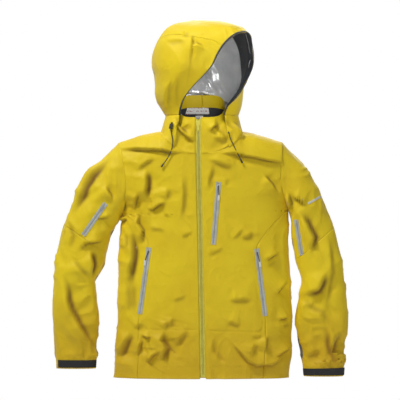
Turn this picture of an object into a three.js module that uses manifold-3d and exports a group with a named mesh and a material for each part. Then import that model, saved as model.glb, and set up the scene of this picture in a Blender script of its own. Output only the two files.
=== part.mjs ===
// Hardshell jacket with a raised, turned hood: shell panels, collar, sleeves that swing and bend,
// six zips with sliders and pulls, cuff tabs, hood drawcords and a hanger loop.
// Millimetres, +Z up, the front faces -Y and the wearer's left is +X. Heights in the tables below are
// measured from the hem, and the finished group is moved so that the origin is the seat of the hanger loop.
import * as THREE from "three";
import { mergeVertices } from "three/addons/utils/BufferGeometryUtils.js";
import Module from "manifold-3d";

// ---------------------------------------------------------------- driving dimensions
const FABRIC = 1.2; // thickness of every cloth panel
const SEAM = 0.3; // gap between two pieces that lie on each other
const JOIN = 0.8; // gap between two panels that are sewn edge to edge
const DEPTH_FRONT = 80; // from the middle plane to the front zip
const DEPTH_BACK = 80;
const ROUNDNESS = 2.3; // 2 is an ellipse, more is boxier
const SHOULDER_ROLL = 70; // height over which the shoulder rounds over
const HEM_PANEL = 156; // height of the front hem panel
const NECK_HALF = 134; // half width of the neckline
const NECK_FRONT = 726;
const NECK_SIDE = 794;
const NECK_BACK = 800;
const SHOULDER_END = 759; // height of the shoulder point
const COLLAR_FRONT = 838;
const COLLAR_BACK = 915;
const COLLAR_HALF = 74;
const HOOD_SEAM = 845; // height where the tilting hood meets its neck
const HOOD_TURN = 47; // degrees that the head of the hood is turned to the wearer's left
const HOOD_FLARE = 26; // how far the front edge of the hood turns out on the wearer's left
const ZIP_LEAN = -0.02; // sideways drift of the front zip per unit of height
const PLACKET_HALF = 9; // half of the opening that shows the front zip
const CHAIN_GAP = 0.8; // half of the gap between the two rows of teeth
const TAB_HEIGHT = 24;
const CUFF_MARGIN = 4; // from the cuff's edge to its tab
const CORD_RADIUS = 1.5;

// ---------------------------------------------------------------- helpers
const { sin, cos, abs, sign, min, max, sqrt, PI } = Math;
const clamp = (x, low = 0, high = 1) => min(high, max(low, x));
const mix = (a, b, t) => a + (b - a) * t;
const smooth = (t) => clamp(t) ** 2 * (3 - 2 * clamp(t));
const power = (x, p) => sign(x) * abs(x) ** p;
const point = (x, y, z) => new THREE.Vector3(x, y, z);

// A smooth curve through [position, value, value, ...] rows, as a function of the position.
function through(rows) {
  return (at) => {
    const x = clamp(at, rows[0][0], rows.at(-1)[0]);
    const k = clamp(rows.findIndex((r) => r[0] >= x) - 1, 0, rows.length - 2);
    const [a, b] = [rows[k], rows[k + 1]];
    const [before, after] = [rows[max(k - 1, 0)], rows[min(k + 2, rows.length - 1)]];
    const step = b[0] - a[0];
    const t = (x - a[0]) / step;
    const values = a.slice(1).map((_, i) => {
      const c = i + 1;
      const start = (step * (b[c] - before[c])) / (b[0] - before[0]);
      const end = (step * (after[c] - a[c])) / (after[0] - a[0]);
      return (
        (1 + 2 * t) * (1 - t) ** 2 * a[c] + t * (1 - t) ** 2 * start + t * t * (3 - 2 * t) * b[c] - t * t * (1 - t) * end
      );
    });
    return values.length === 1 ? values[0] : values;
  };
}

const wasm = await Module();
wasm.setup();

function toSolid(geometry) {
  const bare = geometry.index ? geometry.toNonIndexed() : geometry.clone();
  for (const name of Object.keys(bare.attributes)) if (name !== "position") bare.deleteAttribute(name);
  const merged = mergeVertices(bare, 1e-3);
  const vertProperties = merged.attributes.position.array;
  return new wasm.Manifold(new wasm.Mesh({ numProp: 3, vertProperties, triVerts: new Uint32Array(merged.index.array) }));
}

function toGeometry(solid) {
  const { numProp, numVert, vertProperties, triVerts } = solid.getMesh();
  const positions = new Float32Array(numVert * 3);
  for (let i = 0; i < numVert; i++) positions.set(vertProperties.subarray(i * numProp, i * numProp + 3), i * 3);
  const geometry = new THREE.BufferGeometry();
  geometry.setAttribute("position", new THREE.BufferAttribute(positions, 3));
  return geometry.setIndex(new THREE.BufferAttribute(new Uint32Array(triVerts), 1));
}

const joined = (...geometries) => toGeometry(geometries.map(toSolid).reduce((a, b) => a.add(b)));
const cut = (geometry, ...tools) => toGeometry(tools.reduce((a, b) => a.subtract(toSolid(b)), toSolid(geometry)));
const box = (w, d, h, x = 0, y = 0, z = 0) => new THREE.BoxGeometry(w, d, h).translate(x, y, z);

// The outward normal of surface(u, v), where u runs to the left of someone looking out along it and v runs up.
function normalAt(surface, u, v, reach, around) {
  const e = 1e-3;
  const [low, high] = around ? [u - reach, u + reach] : [max(u - reach, 0), min(u + reach, 1)];
  const du = surface(high, v).sub(surface(low, v));
  const dv = surface(u, min(v + e, 1)).sub(surface(u, max(v - e, 0)));
  return du.cross(dv).normalize();
}

// A closed cloth solid over surface(u, v), each 0 to 1, between two offsets along its normal.
// around closes it into a tube in u.
function cloth(surface, columns, rows, { out = 0, thick = FABRIC, around = false } = {}) {
  const across = around ? columns : columns + 1;
  const positions = [];
  for (const offset of [out, out - thick])
    for (let j = 0; j <= rows; j++)
      for (let i = 0; i < across; i++) {
        const normal = normalAt(surface, i / columns, j / rows, around ? 0.5 / columns : 1e-3, around);
        positions.push(...surface(i / columns, j / rows).addScaledVector(normal, offset));
      }
  const inner = across * (rows + 1);
  const at = (i, j) => j * across + (i % across);
  const faces = [];
  const quad = (a, b, c, d) => faces.push(a, b, c, a, c, d);
  for (let j = 0; j < rows; j++)
    for (let i = 0; i < columns; i++) {
      quad(at(i, j), at(i + 1, j), at(i + 1, j + 1), at(i, j + 1));
      quad(inner + at(i, j), inner + at(i, j + 1), inner + at(i + 1, j + 1), inner + at(i + 1, j));
    }
  const rim = (a, b) => quad(a, inner + a, inner + b, b);
  for (let i = 0; i < columns; i++) {
    rim(at(i, 0), at(i + 1, 0));
    rim(at(i + 1, rows), at(i, rows));
  }
  if (!around)
    for (let j = 0; j < rows; j++) {
      rim(at(0, j + 1), at(0, j));
      rim(at(columns, j), at(columns, j + 1));
    }
  const geometry = new THREE.BufferGeometry();
  geometry.setAttribute("position", new THREE.BufferAttribute(new Float32Array(positions), 3));
  return geometry.setIndex(faces);
}

// ---------------------------------------------------------------- materials
const finish = (color, roughness = 0.7, metalness = 0) => new THREE.MeshStandardMaterial({ color, roughness, metalness });
const shell = finish(0xd9c21a);
const charcoal = finish(0x2b2e38);
const zipGrey = finish(0xaab0ae, 0.5);
const zipYellow = finish(0xd8cf4a, 0.5);
const black = finish(0x151515, 0.6);
const white = finish(0xe8e8e4, 0.6);
const metal = finish(0x9a9c9c, 0.35, 0.8);

const jacket = new THREE.Group();
function add(name, geometry, material, group = jacket) {
  const mesh = new THREE.Mesh(geometry, material);
  mesh.name = name;
  group.add(mesh);
  return mesh;
}

// ---------------------------------------------------------------- torso surface
// side -1 is the wearer's right, which is -X, and +1 the wearer's left.
const sideEdge = {
  "-1": through([[0, 282], [60, 278], [160, 273], [400, 266], [531, 258]]),
  1: through([[0, 281], [60, 287], [200, 290], [320, 287], [400, 281], [531, 279]]),
};
const armhole = { "-1": through([[525, 257], [620, 243], [SHOULDER_END, 268]]), 1: through([[537, 279], [620, 255], [SHOULDER_END, 260]]) };
const armpit = { "-1": 525, 1: 537 };
const zipX = (h) => ZIP_LEAN * (h - 420) - 5;
const shoulderEnd = { "-1": armhole[-1](SHOULDER_END), 1: armhole[1](SHOULDER_END) };

function shoulderHeight(side, x) {
  const along = (abs(x) - NECK_HALF) / (shoulderEnd[side] - NECK_HALF);
  return along > 0 ? mix(NECK_SIDE, SHOULDER_END, along ** 1.25) : NECK_SIDE + 1.4 * (NECK_HALF - abs(x));
}
function neckHeight(x, back) {
  const centre = back ? NECK_BACK : NECK_FRONT;
  return centre + (NECK_SIDE - centre) * min(abs(x) / NECK_HALF, 1) ** 3;
}
function bodyDepth(side, x, h, back) {
  const wide = h < armpit[side] ? sideEdge[side](h) : mix(sideEdge[side](armpit[side]), 330, smooth((h - armpit[side]) / 120));
  const across = (1 - min(abs(x) / wide, 1) ** ROUNDNESS) ** (1 / ROUNDNESS);
  const roll = clamp((shoulderHeight(side, x) - h) / SHOULDER_ROLL);
  return JOIN / 2 + (back ? DEPTH_BACK : DEPTH_FRONT) * across * sqrt(1 - (1 - roll) ** 2);
}
// A point at sideways distance x (unsigned) and height h.
const bodyPoint = (side, x, h, back) => point(side * x, (back ? 1 : -1) * bodyDepth(side, x, h, back), h);
// Top edge of a panel at a share of the way from the middle to the shoulder point.
function topEdge(side, x, back) {
  return abs(x) < NECK_HALF ? neckHeight(x, back) : shoulderHeight(side, x);
}
// Seam between the front panel and the side panel, which the hand pocket's zip follows.
const pocketSeam = { "-1": through([[0, 206], [195, 201], [416, 171], [480, 196], [531, 250]]), 1: through([[0, 196], [195, 203], [416, 176], [480, 215], [537, 271]]) };
const BACK_SEAM = 205; // from the middle to the seam between the back and the side panel
const backSeam = (side, h) => mix(BACK_SEAM, sideEdge[side](h) - 1, smooth((h - 430) / (armpit[side] - 430)));
// Every body panel has its rows at these heights, so that two panels meet along the same line.
const rowHeights = (side) => [0, 83, HEM_PANEL + JOIN / 2, 225, 285, 345, 395, 440, 485, armpit[side], 585, 640, 688, 722, 740, SHOULDER_END];
const HEM_ROWS = 2;
const SIDE_ROWS = 9;
const ALL_ROWS = 15;
function rowHeight(side, v, first, last) {
  const rows = rowHeights(side);
  const at = mix(first, last, v);
  const k = min(Math.floor(at), last - 1);
  return mix(rows[k], rows[k + 1], at - k);
}

function frontPanel(side) {
  const middle = (h) => side * zipX(h) + PLACKET_HALF;
  const outer = (h) => (h < armpit[side] ? pocketSeam[side](h) : armhole[side](h)) - JOIN / 2;
  return (u, v) => {
    const share = side > 0 ? u : 1 - u;
    const top = topEdge(side, mix(middle(NECK_FRONT), shoulderEnd[side], share), false);
    const h = max(HEM_PANEL + JOIN, (top / SHOULDER_END) * rowHeight(side, v, HEM_ROWS, ALL_ROWS));
    return bodyPoint(side, mix(middle(h), outer(h), share), h, false);
  };
}
function hemPanel(side) {
  return (u, v) => {
    const h = min(HEM_PANEL, rowHeight(side, v, 0, HEM_ROWS));
    const share = side > 0 ? u : 1 - u;
    return bodyPoint(side, mix(side * zipX(h) + PLACKET_HALF, pocketSeam[side](h) - JOIN / 2, share), h, false);
  };
}
// The side panel goes round the edge of the body, so it runs by angle: 90 degrees is the side itself.
function sidePanel(side) {
  return (u, v) => {
    const share = side > 0 ? u : 1 - u;
    const h = min(rowHeight(side, v, 0, SIDE_ROWS), armpit[side] - 2);
    const edge = sideEdge[side](h);
    const angleOf = (x) => Math.asin(min(x / edge, 1) ** (ROUNDNESS / 2));
    const angle = mix(angleOf(pocketSeam[side](h) + 1.5 * JOIN), PI - angleOf(backSeam(side, h) + JOIN / 2), share);
    const depth = cos(angle) > 0 ? DEPTH_FRONT : DEPTH_BACK;
    return point(side * edge * sin(angle) ** (2 / ROUNDNESS), -depth * power(cos(angle), 2 / ROUNDNESS), h);
  };
}
function backPanel(u, v) {
  const side = u < 0.5 ? 1 : -1;
  const share = abs(1 - 2 * u);
  const h = (topEdge(side, share * shoulderEnd[side], true) / SHOULDER_END) * rowHeight(side, v, 0, ALL_ROWS);
  const outer = (h < armpit[side] ? backSeam(side, h) : armhole[side](h)) - JOIN / 2;
  return bodyPoint(side, share * outer, h, true);
}

// ---------------------------------------------------------------- zips
// A zip lies along a straight line between two points of a cloth surface. Its own frame has x across, -y outwards and z up.
const ZIP = { slot: 7, tape: 15, tapeThick: 1.2, plate: 1.1, clear: 0.3, sliderLong: 11, sliderWide: 5.6 };

function zipFrame(bottom, top, outward, sink) {
  const up = top.clone().sub(bottom);
  const length = up.length();
  up.normalize();
  const back = outward.clone().negate();
  back.addScaledVector(up, -back.dot(up)).normalize();
  const across = back.clone().cross(up).normalize();
  const middle = bottom.clone().add(top).multiplyScalar(0.5).addScaledVector(back, sink);
  const matrix = new THREE.Matrix4().makeBasis(across, back, up).setPosition(middle);
  return { matrix, length, up, across };
}
const placed = (geometry, frame) => geometry.applyMatrix4(frame.matrix);

function tapeFrame(length) {
  return cut(box(ZIP.tape, ZIP.tapeThick, length + 16, 0, ZIP.tapeThick / 2), box(2 * CHAIN_GAP, 9, length));
}
// The slider: a plate on each side of the tape, the web that joins them and the bridge that holds the pull.
const BRIDGE = { height: 2.6, bar: 0.6, half: 2.3, post: 0.9 };
function slider(width, long, tapeThick) {
  const front = -ZIP.clear - ZIP.plate / 2;
  const back = tapeThick + ZIP.clear + ZIP.plate / 2;
  const barY = front - ZIP.plate / 2 - BRIDGE.height + BRIDGE.bar;
  const parts = [box(width, ZIP.plate, long, 0, front), box(width, ZIP.plate, long, 0, back)];
  parts.push(box(2 * CHAIN_GAP - 0.6, back - front, long * 0.5, 0, (front + back) / 2));
  for (const s of [-1, 1]) parts.push(box(BRIDGE.post, BRIDGE.height, 2.4, s * BRIDGE.half, front - BRIDGE.height / 2));
  parts.push(new THREE.CylinderGeometry(BRIDGE.bar, BRIDGE.bar, 2 * BRIDGE.half, 10).rotateZ(PI / 2).translate(0, barY, 0));
  return { geometry: joined(...parts), barY };
}
// A pull's eye round the bridge's bar, with a strap that hangs from it. bend moves its lower end sideways.
function pullStrap(barY, long, width, bend) {
  const eye = cut(
    new THREE.CylinderGeometry(1.8, 1.8, 2.6, 14).rotateZ(PI / 2),
    new THREE.CylinderGeometry(0.9, 0.9, 9, 14).rotateZ(PI / 2),
  ).translate(0, barY, 0);
  const outline = new THREE.Shape();
  outline.moveTo(-width / 2, -1.3).lineTo(width / 2, -1.3);
  outline.lineTo(bend + width / 2, -long).lineTo(bend - width / 2, -long).closePath();
  const strap = new THREE.ExtrudeGeometry(outline, { depth: 1.2, bevelEnabled: false }).rotateX(PI / 2);
  return joined(eye, strap.translate(0, barY + 0.2, 0));
}
function pullGrip(barY, long, width, from, bend) {
  const outline = new THREE.Shape();
  const r = width * 0.4;
  outline.moveTo(bend - width / 2, -from).lineTo(bend + width / 2, -from).lineTo(bend + width / 2, -from - long + r);
  outline.absarc(bend + width / 2 - r, -from - long + r, r, 0, -PI / 2, true);
  outline.absarc(bend - width / 2 + r, -from - long + r, r, -PI / 2, -PI, true);
  outline.closePath();
  const bevel = { depth: 1.2, bevelThickness: 0.4, bevelSize: 0.4, bevelSegments: 1, curveSegments: 4 };
  return new THREE.ExtrudeGeometry(outline, bevel).rotateX(PI / 2).translate(0, barY + 0.2, 0);
}

// ---------------------------------------------------------------- sleeves
// Outer and inner edges of each sleeve as [share of its length, x, height], and its half thickness.
const sleeveEdges = {
  "-1": {
    outer: through([[0, 268, 759], [0.1, 322, 706], [0.25, 380, 632], [0.45, 442, 500], [0.62, 477, 350], [0.8, 478, 190], [1, 471, 29]]),
    inner: through([[0, 257, 525], [0.1, 272, 503], [0.25, 291, 465], [0.45, 306, 405], [0.56, 322, 345], [0.63, 346, 303], [0.71, 342, 250], [0.8, 334, 185], [1, 343, 29]]),
  },
  1: {
    outer: through([[0, 260, 759], [0.1, 309, 710], [0.25, 362, 636], [0.45, 424, 490], [0.62, 458, 352], [0.8, 468, 190], [1, 457, 4]]),
    inner: through([[0, 279, 537], [0.1, 287, 512], [0.25, 289, 470], [0.45, 303, 385], [0.57, 323, 312], [0.64, 312, 265], [0.8, 307, 155], [0.92, 322, 70], [1, 329, 4]]),
  },
};
const sleeveHalf = through([[0, 60], [0.25, 55], [0.6, 44], [0.85, 34], [1, 30]]);
const ELBOW = 0.6;

// angle 0 is the outer edge and a quarter turn is the front.
function sleevePoint(side, share, angle) {
  const edges = sleeveEdges[side];
  const [ox, oz] = edges.outer(share);
  const [ix, iz] = edges.inner(share);
  const across = power(cos(angle), 2 / ROUNDNESS);
  const depth = power(sin(angle), 2 / ROUNDNESS);
  const made = point(side * mix(ix, ox, (1 + across) / 2), -sleeveHalf(share) * depth, mix(iz, oz, (1 + across) / 2));
  const h = mix(armpit[side], SHOULDER_END, (1 + cos(angle)) / 2);
  const x = armhole[side](h);
  const seam = point(side * x, -sign(sin(angle)) * bodyDepth(side, x, h, sin(angle) < 0), h);
  return seam.lerp(made, smooth(share / 0.16));
}
function sleeve(side, from, to) {
  return (u, v) => sleevePoint(side, mix(to, from, v), side > 0 ? PI * (0.5 + 2 * -u) + PI / 2 : 2 * PI * u);
}

// ---------------------------------------------------------------- collar and hood
// angle 0 is the front and a quarter turn is the wearer's left.
function necklinePoint(angle, half = NECK_HALF) {
  const side = sin(angle) < 0 ? -1 : 1;
  const back = cos(angle) < 0;
  const x = half * abs(power(sin(angle), 0.8));
  return point(side * x, (back ? 1 : -1) * bodyDepth(side, x, neckHeight(x, back), back), neckHeight(x, back));
}
const COLLAR_GAP = 7; // inside the hood's neck
function collarPoint(angle, share) {
  const base = necklinePoint(angle);
  const inside = smooth(abs(angle) * 2.2);
  const shrink = 1 - (COLLAR_GAP * inside) / NECK_HALF;
  base.x *= shrink;
  base.y *= shrink;
  base.z += 2 * JOIN;
  const depth = cos(angle) > 0 ? DEPTH_FRONT : 58;
  const top = mix(COLLAR_FRONT, COLLAR_BACK, smooth((1 - cos(angle)) / 2));
  const rim = point(COLLAR_HALF * power(sin(angle), 0.85), -depth * power(cos(angle), 0.6), top);
  const drift = cos(angle) > 0 ? 1 - abs(sin(angle)) : 0; // the front leans with the zip
  base.x += drift * zipX(NECK_FRONT);
  rim.x += drift * zipX(top);
  const lifted = base.clone().lerp(rim, share);
  const tube = 1 - (1 - share) ** 1.6;
  lifted.x = mix(base.x, rim.x, tube);
  lifted.y = mix(base.y, rim.y, tube);
  return lifted;
}
function collarHalf(side) {
  return (u, v) => {
    const start = mix(0.034, 0.084, v); // radians from the middle to the edge beside the zip
    const share = side > 0 ? u : 1 - u;
    return collarPoint(side * mix(start, PI - 0.004, share), v);
  };
}

// The seam ring of the hood at HOOD_SEAM, open at the front. angle as for the neckline.
const HOOD_OPEN = 0.62; // radians from the front to the hood's front edge
function hoodRing(angle) {
  const front = cos(angle) > 0;
  return point(118 * power(sin(angle), 0.9), -(front ? 88 : 96) * power(cos(angle), 0.9), HOOD_SEAM);
}
function hoodNeck(side) {
  return (u, v) => {
    const share = side > 0 ? u : 1 - u;
    const angle = side * mix(HOOD_OPEN, PI - 0.003, share);
    const base = necklinePoint(angle);
    base.z += 2.5 * JOIN;
    const ring = hoodRing(angle);
    ring.z -= 1.5 * JOIN;
    return base.lerp(ring, v);
  };
}
// The hood's head is a row of hoops, from its front edge (0) to its back seam (1).
const hoodRidge = through([[0, -190, 1106], [0.12, -150, 1131], [0.35, -44, 1149], [0.6, 78, 1141], [0.82, 144, 1025], [1, 96, HOOD_SEAM]]);
const hoodFoot = through([[0, HOOD_OPEN], [1, 1.75]]);
const hoodBulge = through([[0, 104, 150], [0.3, 186, 170], [0.6, 204, 165], [0.85, 160, 100], [1, 40, 0]]);
function hoodHoop(share, across) {
  const side = across < 0 ? -1 : 1;
  const foot = hoodRing(side * hoodFoot(share));
  const [y, z] = hoodRidge(share);
  const [wide, rise] = hoodBulge(share);
  const ridge = point(0, y, z);
  const low = foot.clone();
  const high = ridge.clone();
  const end = smooth((share - 0.8) / 0.2);
  low.add(point(side * mix(wide * (side < 0 ? 0.42 : 0.2) * smooth(share / 0.3), -6, end), mix(-12, 46, end), mix(rise * 0.9, 0, end)));
  high.add(point(side * wide * 0.95, mix(14, 0, end), mix(-6, 0, end)));
  const t = 1 - abs(across);
  const curve = new THREE.CubicBezierCurve3(foot, low, high, ridge);
  const made = curve.getPoint(t);
  const turn = (HOOD_TURN * PI * smooth((made.z - HOOD_SEAM) / 170)) / 180;
  const flare = HOOD_FLARE * smooth(1 - share / 0.3) * smooth((across - 0.22) / 0.4) * smooth((1 - across) / 0.2);
  return point(made.x * cos(turn) - made.y * sin(turn) + flare, made.x * sin(turn) + made.y * cos(turn), made.z);
}
function hoodPanel(from, to, front = 0, back = 1) {
  return (u, v) => hoodHoop(mix(back, front, v), mix(from, to, u));
}

// ---------------------------------------------------------------- assembly: torso
const sides = [[-1, "right"], [1, "left"]];
const bodyNormal = (side, x, h, back = false) => {
  const e = 1;
  const du = bodyPoint(side, x + e, h, back).sub(bodyPoint(side, x - e, h, back));
  const dv = bodyPoint(side, x, h + e, back).sub(bodyPoint(side, x, h - e, back));
  const normal = du.cross(dv).normalize();
  return normal.y < 0 === !back ? normal : normal.negate();
};
const sleeveNormal = (side, share, angle) => {
  const e = 0.01;
  const du = sleevePoint(side, share, angle + e).sub(sleevePoint(side, share, angle - e));
  const dv = sleevePoint(side, share + e, angle).sub(sleevePoint(side, share - e, angle));
  const normal = du.cross(dv).normalize();
  return normal.y < 0 ? normal : normal.negate();
};
const HAND_ZIP = { "-1": [212, 416], 1: [206, 412] };
const CHEST_ZIP = [[37, 435], [53, 626]];
const SINK = FABRIC + 0.9; // from the cloth's outer face to the front of a zip's tape
const zips = {};
zips.chest = zipFrame(bodyPoint(1, ...CHEST_ZIP[0], false), bodyPoint(1, ...CHEST_ZIP[1], false), bodyNormal(1, 45, 530), SINK);
for (const [side, name] of sides) {
  const [low, high] = HAND_ZIP[side];
  const ends = [low, high].map((h) => bodyPoint(side, pocketSeam[side](h), h, false));
  const middle = (low + high) / 2;
  zips["hand_" + name] = zipFrame(...ends, bodyNormal(side, pocketSeam[side](middle), middle), SINK + 0.6);
}
const VENT = { "-1": { from: [0.44, 1.5], to: [0.18, 1.72] }, 1: { from: [0.45, 2.35], to: [0.24, 2.2] } };
for (const [side, name] of sides) {
  const { from, to } = VENT[side];
  const normal = sleeveNormal(side, (from[0] + to[0]) / 2, (from[1] + to[1]) / 2);
  zips["vent_" + name] = zipFrame(sleevePoint(side, ...from), sleevePoint(side, ...to), normal, SINK + 2.2);
}
const slotFor = (zip) => placed(box(ZIP.slot, 40, zip.length + 2), zip);

for (const [side, name] of sides) {
  const tools = side > 0 ? [slotFor(zips.hand_left), slotFor(zips.chest)] : [slotFor(zips.hand_right)];
  add("front_body_" + name, cut(cloth(frontPanel(side), 8, ALL_ROWS - HEM_ROWS), ...tools), shell);
  add("hem_front_" + name, cloth(hemPanel(side), 6, HEM_ROWS), shell);
  add("side_panel_" + name, cut(cloth(sidePanel(side), 10, SIDE_ROWS), tools[0]), shell);
}
add("back_body", cloth(backPanel, 16, ALL_ROWS), shell);
// The storm flap stands behind the front zip and is sewn to the right front beside the zip's tape.
const FLAP = { top: NECK_FRONT - 12, behind: 9, half: 21, seat: FABRIC + 1.1 };
const flapOutline = new THREE.Shape();
flapOutline.moveTo(FLAP.half, FLAP.behind).lineTo(FLAP.half, FLAP.behind + FABRIC).lineTo(-FLAP.half, FLAP.behind + FABRIC);
flapOutline.lineTo(-FLAP.half - 6.5, FLAP.seat + FABRIC).lineTo(-FLAP.half - 18, FLAP.seat + FABRIC);
flapOutline.lineTo(-FLAP.half - 18, FLAP.seat).lineTo(-FLAP.half - 6, FLAP.seat).lineTo(-FLAP.half + 1, FLAP.behind).closePath();
add("storm_flap", new THREE.ExtrudeGeometry(flapOutline, { depth: FLAP.top, bevelEnabled: false })
  .applyMatrix4(new THREE.Matrix4().set(1, 0, ZIP_LEAN, zipX(0), 0, 1, 0, -DEPTH_FRONT, 0, 0, 1, 0, 0, 0, 0, 1)), shell);

// Pocket bags hang inside the front, behind their zips, and are bonded to it round their edges.
const BAG_SEAT = FABRIC + 1;
const across = through([[0, 0], [0.25, 0.15], [0.5, 0.5], [0.75, 0.85], [1, 1]]);
function bag(side, inner, outer, low, high, deep) {
  return (u, v) => {
    const [i, j] = [across(side > 0 ? u : 1 - u), across(v)];
    const h = mix(low, high, j);
    const x = mix(inner(h), outer(h), i);
    const inset = mix(BAG_SEAT, deep, smooth(min(i, 1 - i, j, 1 - j) / 0.13));
    return bodyPoint(side, x, h, false).addScaledVector(bodyNormal(side, x, h), -inset);
  };
}
add("chest_pocket_bag", cloth(bag(1, () => 20, () => 150, 412, 648, 8), 4, 4), white);
for (const [side, name] of sides) {
  const [low, high] = HAND_ZIP[side];
  const inner = (h) => mix(56, 153, smooth((h - 270) / 110)); // leaves room for the chest pocket's bag
  const outer = (h) => pocketSeam[side](h) + 30;
  add("hand_pocket_bag_" + name, cloth(bag(side, inner, outer, low - 24, high + 26, 11), 4, 5), white);
}

// ---------------------------------------------------------------- assembly: collar and hood
for (const [side, name] of sides) {
  add("collar_" + name, cloth(collarHalf(side), 12, 4), shell);
  add("hood_neck_" + name, cloth(hoodNeck(side), 9, 3), shell);
}
const LINING_HALF = 1.29; // radians each way from the middle of the back
const liningShare = through([[0, 0.04], [1 / 3, 0.25], [2 / 3, 0.5], [1, 0.64]]);
add("collar_lining", cloth((u, v) => collarPoint(PI + mix(-LINING_HALF, LINING_HALF, u), liningShare(v)), 10, 3, { out: -FABRIC - 2 * SEAM, thick: 0.8 }), charcoal);
add("neck_label", cloth((u, v) => collarPoint(PI + mix(-0.2, 0.56, u), mix(0.48, 0.66, v)), 6, 1, { out: -FABRIC - 0.8 - 5 * SEAM, thick: 0.6 }), white);
add("hood_side_right", cloth(hoodPanel(-1, -0.367, 0.035), 6, 10), shell);
add("hood_centre", cloth(hoodPanel(-0.353, 0.353, 0.035), 6, 10), shell);
add("hood_side_left", cloth(hoodPanel(0.367, 1, 0.035), 6, 10), shell);
add("hood_brim", cloth(hoodPanel(-1, 1, 0, 0.028), 18, 1, { thick: 2.4 }), charcoal);

const LOOP = { half: 28, inner: 24, rise: 14, wide: 8 };
const loopY = DEPTH_BACK - 16.8; // just inside the collar's lining
const loopZ = NECK_BACK + 8;
const loopOutline = new THREE.Shape();
loopOutline.moveTo(-LOOP.half, 0).lineTo(-LOOP.half, 6).lineTo(-LOOP.inner + 4, LOOP.rise + 2).lineTo(LOOP.inner - 4, LOOP.rise + 2);
loopOutline.lineTo(LOOP.half, 6).lineTo(LOOP.half, 0).closePath();
const loopHole = new THREE.Path();
loopHole.moveTo(-LOOP.inner, 2).lineTo(LOOP.inner, 2).lineTo(LOOP.inner, 5.4).lineTo(LOOP.inner - 6, LOOP.rise);
loopHole.lineTo(-LOOP.inner + 6, LOOP.rise).lineTo(-LOOP.inner, 5.4).closePath();
loopOutline.holes.push(loopHole);
add("hanger_loop", new THREE.ExtrudeGeometry(loopOutline, { depth: LOOP.wide, bevelEnabled: false })
  .rotateX(PI / 2).translate(0, loopY + LOOP.wide / 2, loopZ), charcoal);

// ---------------------------------------------------------------- assembly: sleeves and cuffs
const tabStart = { "-1": 0.6, 1: 0.22 }; // angle round the cuff where the tab starts
for (const [side, name] of sides) {
  const vent = slotFor(zips["vent_" + name]);
  const around = { around: true };
  const upper = cloth(sleeve(side, 0, ELBOW - 0.0012), 18, 11, around);
  upper.translate(side * JOIN, 0, 0);
  const lower = cloth(sleeve(side, ELBOW, 1), 18, 7, around).translate(side * JOIN, 0, 0);
  add("upper_sleeve_" + name, cut(upper, vent), shell);
  add("lower_sleeve_" + name, lower, shell);
  const [endX, endZ] = sleeveEdges[side].outer(1);
  const [nearX, nearZ] = sleeveEdges[side].outer(0.9);
  const perShare = 10 * Math.hypot(endX - nearX, endZ - nearZ); // length of sleeve for each unit of its share
  const cuff = (from, to) => (u, v) => {
    const angle = mix(from, to, side > 0 ? 1 - u : u);
    return sleevePoint(side, 1 - mix(CUFF_MARGIN, CUFF_MARGIN + TAB_HEIGHT, v) / perShare, angle).add(point(side * JOIN, 0, 0));
  };
  add("cuff_patch_" + name, cloth(cuff(tabStart[side] + 0.25, 1.9), 6, 1, { out: 0.3 + 0.8, thick: 0.8 }), charcoal);
  add("cuff_tab_" + name, cloth(cuff(tabStart[side], 2.95), 12, 1, { out: 0.3 + 0.8 + 0.4 + 1.6, thick: 1.6 }), black);
}

// ---------------------------------------------------------------- assembly: zips
function pocketZip(name, zip, strap, grip, bend, group = jacket) {
  const top = zip.length / 2 - ZIP.sliderLong / 2 - 2;
  add(name + "_zip_tape", placed(tapeFrame(zip.length), zip), zipGrey, group);
  const { geometry, barY } = slider(ZIP.sliderWide, ZIP.sliderLong, ZIP.tapeThick);
  add(name + "_zip_slider", placed(geometry.translate(0, 0, top), zip), metal, group);
  const cord = pullStrap(barY, strap, 2.2, bend).translate(0, 0, top);
  if (!grip) {
    add(name + "_zip_pull", placed(cord, zip), zipGrey, group);
    return;
  }
  add(name + "_pull_cord", placed(cord, zip), black, group);
  add(name + "_pull_grip", placed(pullGrip(barY, grip, 6, strap + 0.4 + SEAM, bend).translate(0, 0, top), zip), white, group);
}
pocketZip("chest", zips.chest, 30, 16, 4);
pocketZip("hand_right", zips.hand_right, 30, 16, -6);
pocketZip("hand_left", zips.hand_left, 30, 16, 4);
pocketZip("vent_right", zips.vent_right, 14, 0, 0);
pocketZip("vent_left", zips.vent_left, 14, 0, 0);

const FRONT_ZIP = { low: 8, high: COLLAR_FRONT - 6, tape: 15, slider: 16, wide: 11 };
const frontZip = zipFrame(
  point(zipX(FRONT_ZIP.low), -DEPTH_FRONT, FRONT_ZIP.low), point(zipX(FRONT_ZIP.high), -DEPTH_FRONT, FRONT_ZIP.high), point(0, -1, 0), SINK + 0.6,
);
for (const [side, name] of sides) {
  const tape = box(FRONT_ZIP.tape, ZIP.tapeThick, frontZip.length, side * (CHAIN_GAP + FRONT_ZIP.tape / 2), ZIP.tapeThick / 2);
  add("front_zip_tape_" + name, placed(tape, frontZip), zipYellow);
}
const frontSlider = slider(FRONT_ZIP.wide, FRONT_ZIP.slider, ZIP.tapeThick);
const frontTop = frontZip.length / 2 - FRONT_ZIP.slider / 2 - 4;
add("front_zip_slider", placed(frontSlider.geometry.translate(0, 0, frontTop), frontZip), zipYellow);
add("front_zip_pull", placed(pullStrap(frontSlider.barY, 26, 4, 0).translate(0, 0, frontTop), frontZip), zipYellow);
const boxWall = cut(box(14, 4.6, 7, 0, ZIP.tapeThick / 2), box(30, ZIP.tapeThick + 0.6, 5.8, 0, ZIP.tapeThick / 2, 0.9));
add("front_zip_box", placed(joined(boxWall, box(1, 4.6, 7, 0, ZIP.tapeThick / 2)).translate(0, 0, -frontZip.length / 2 + 1.8), frontZip), zipYellow);

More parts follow.
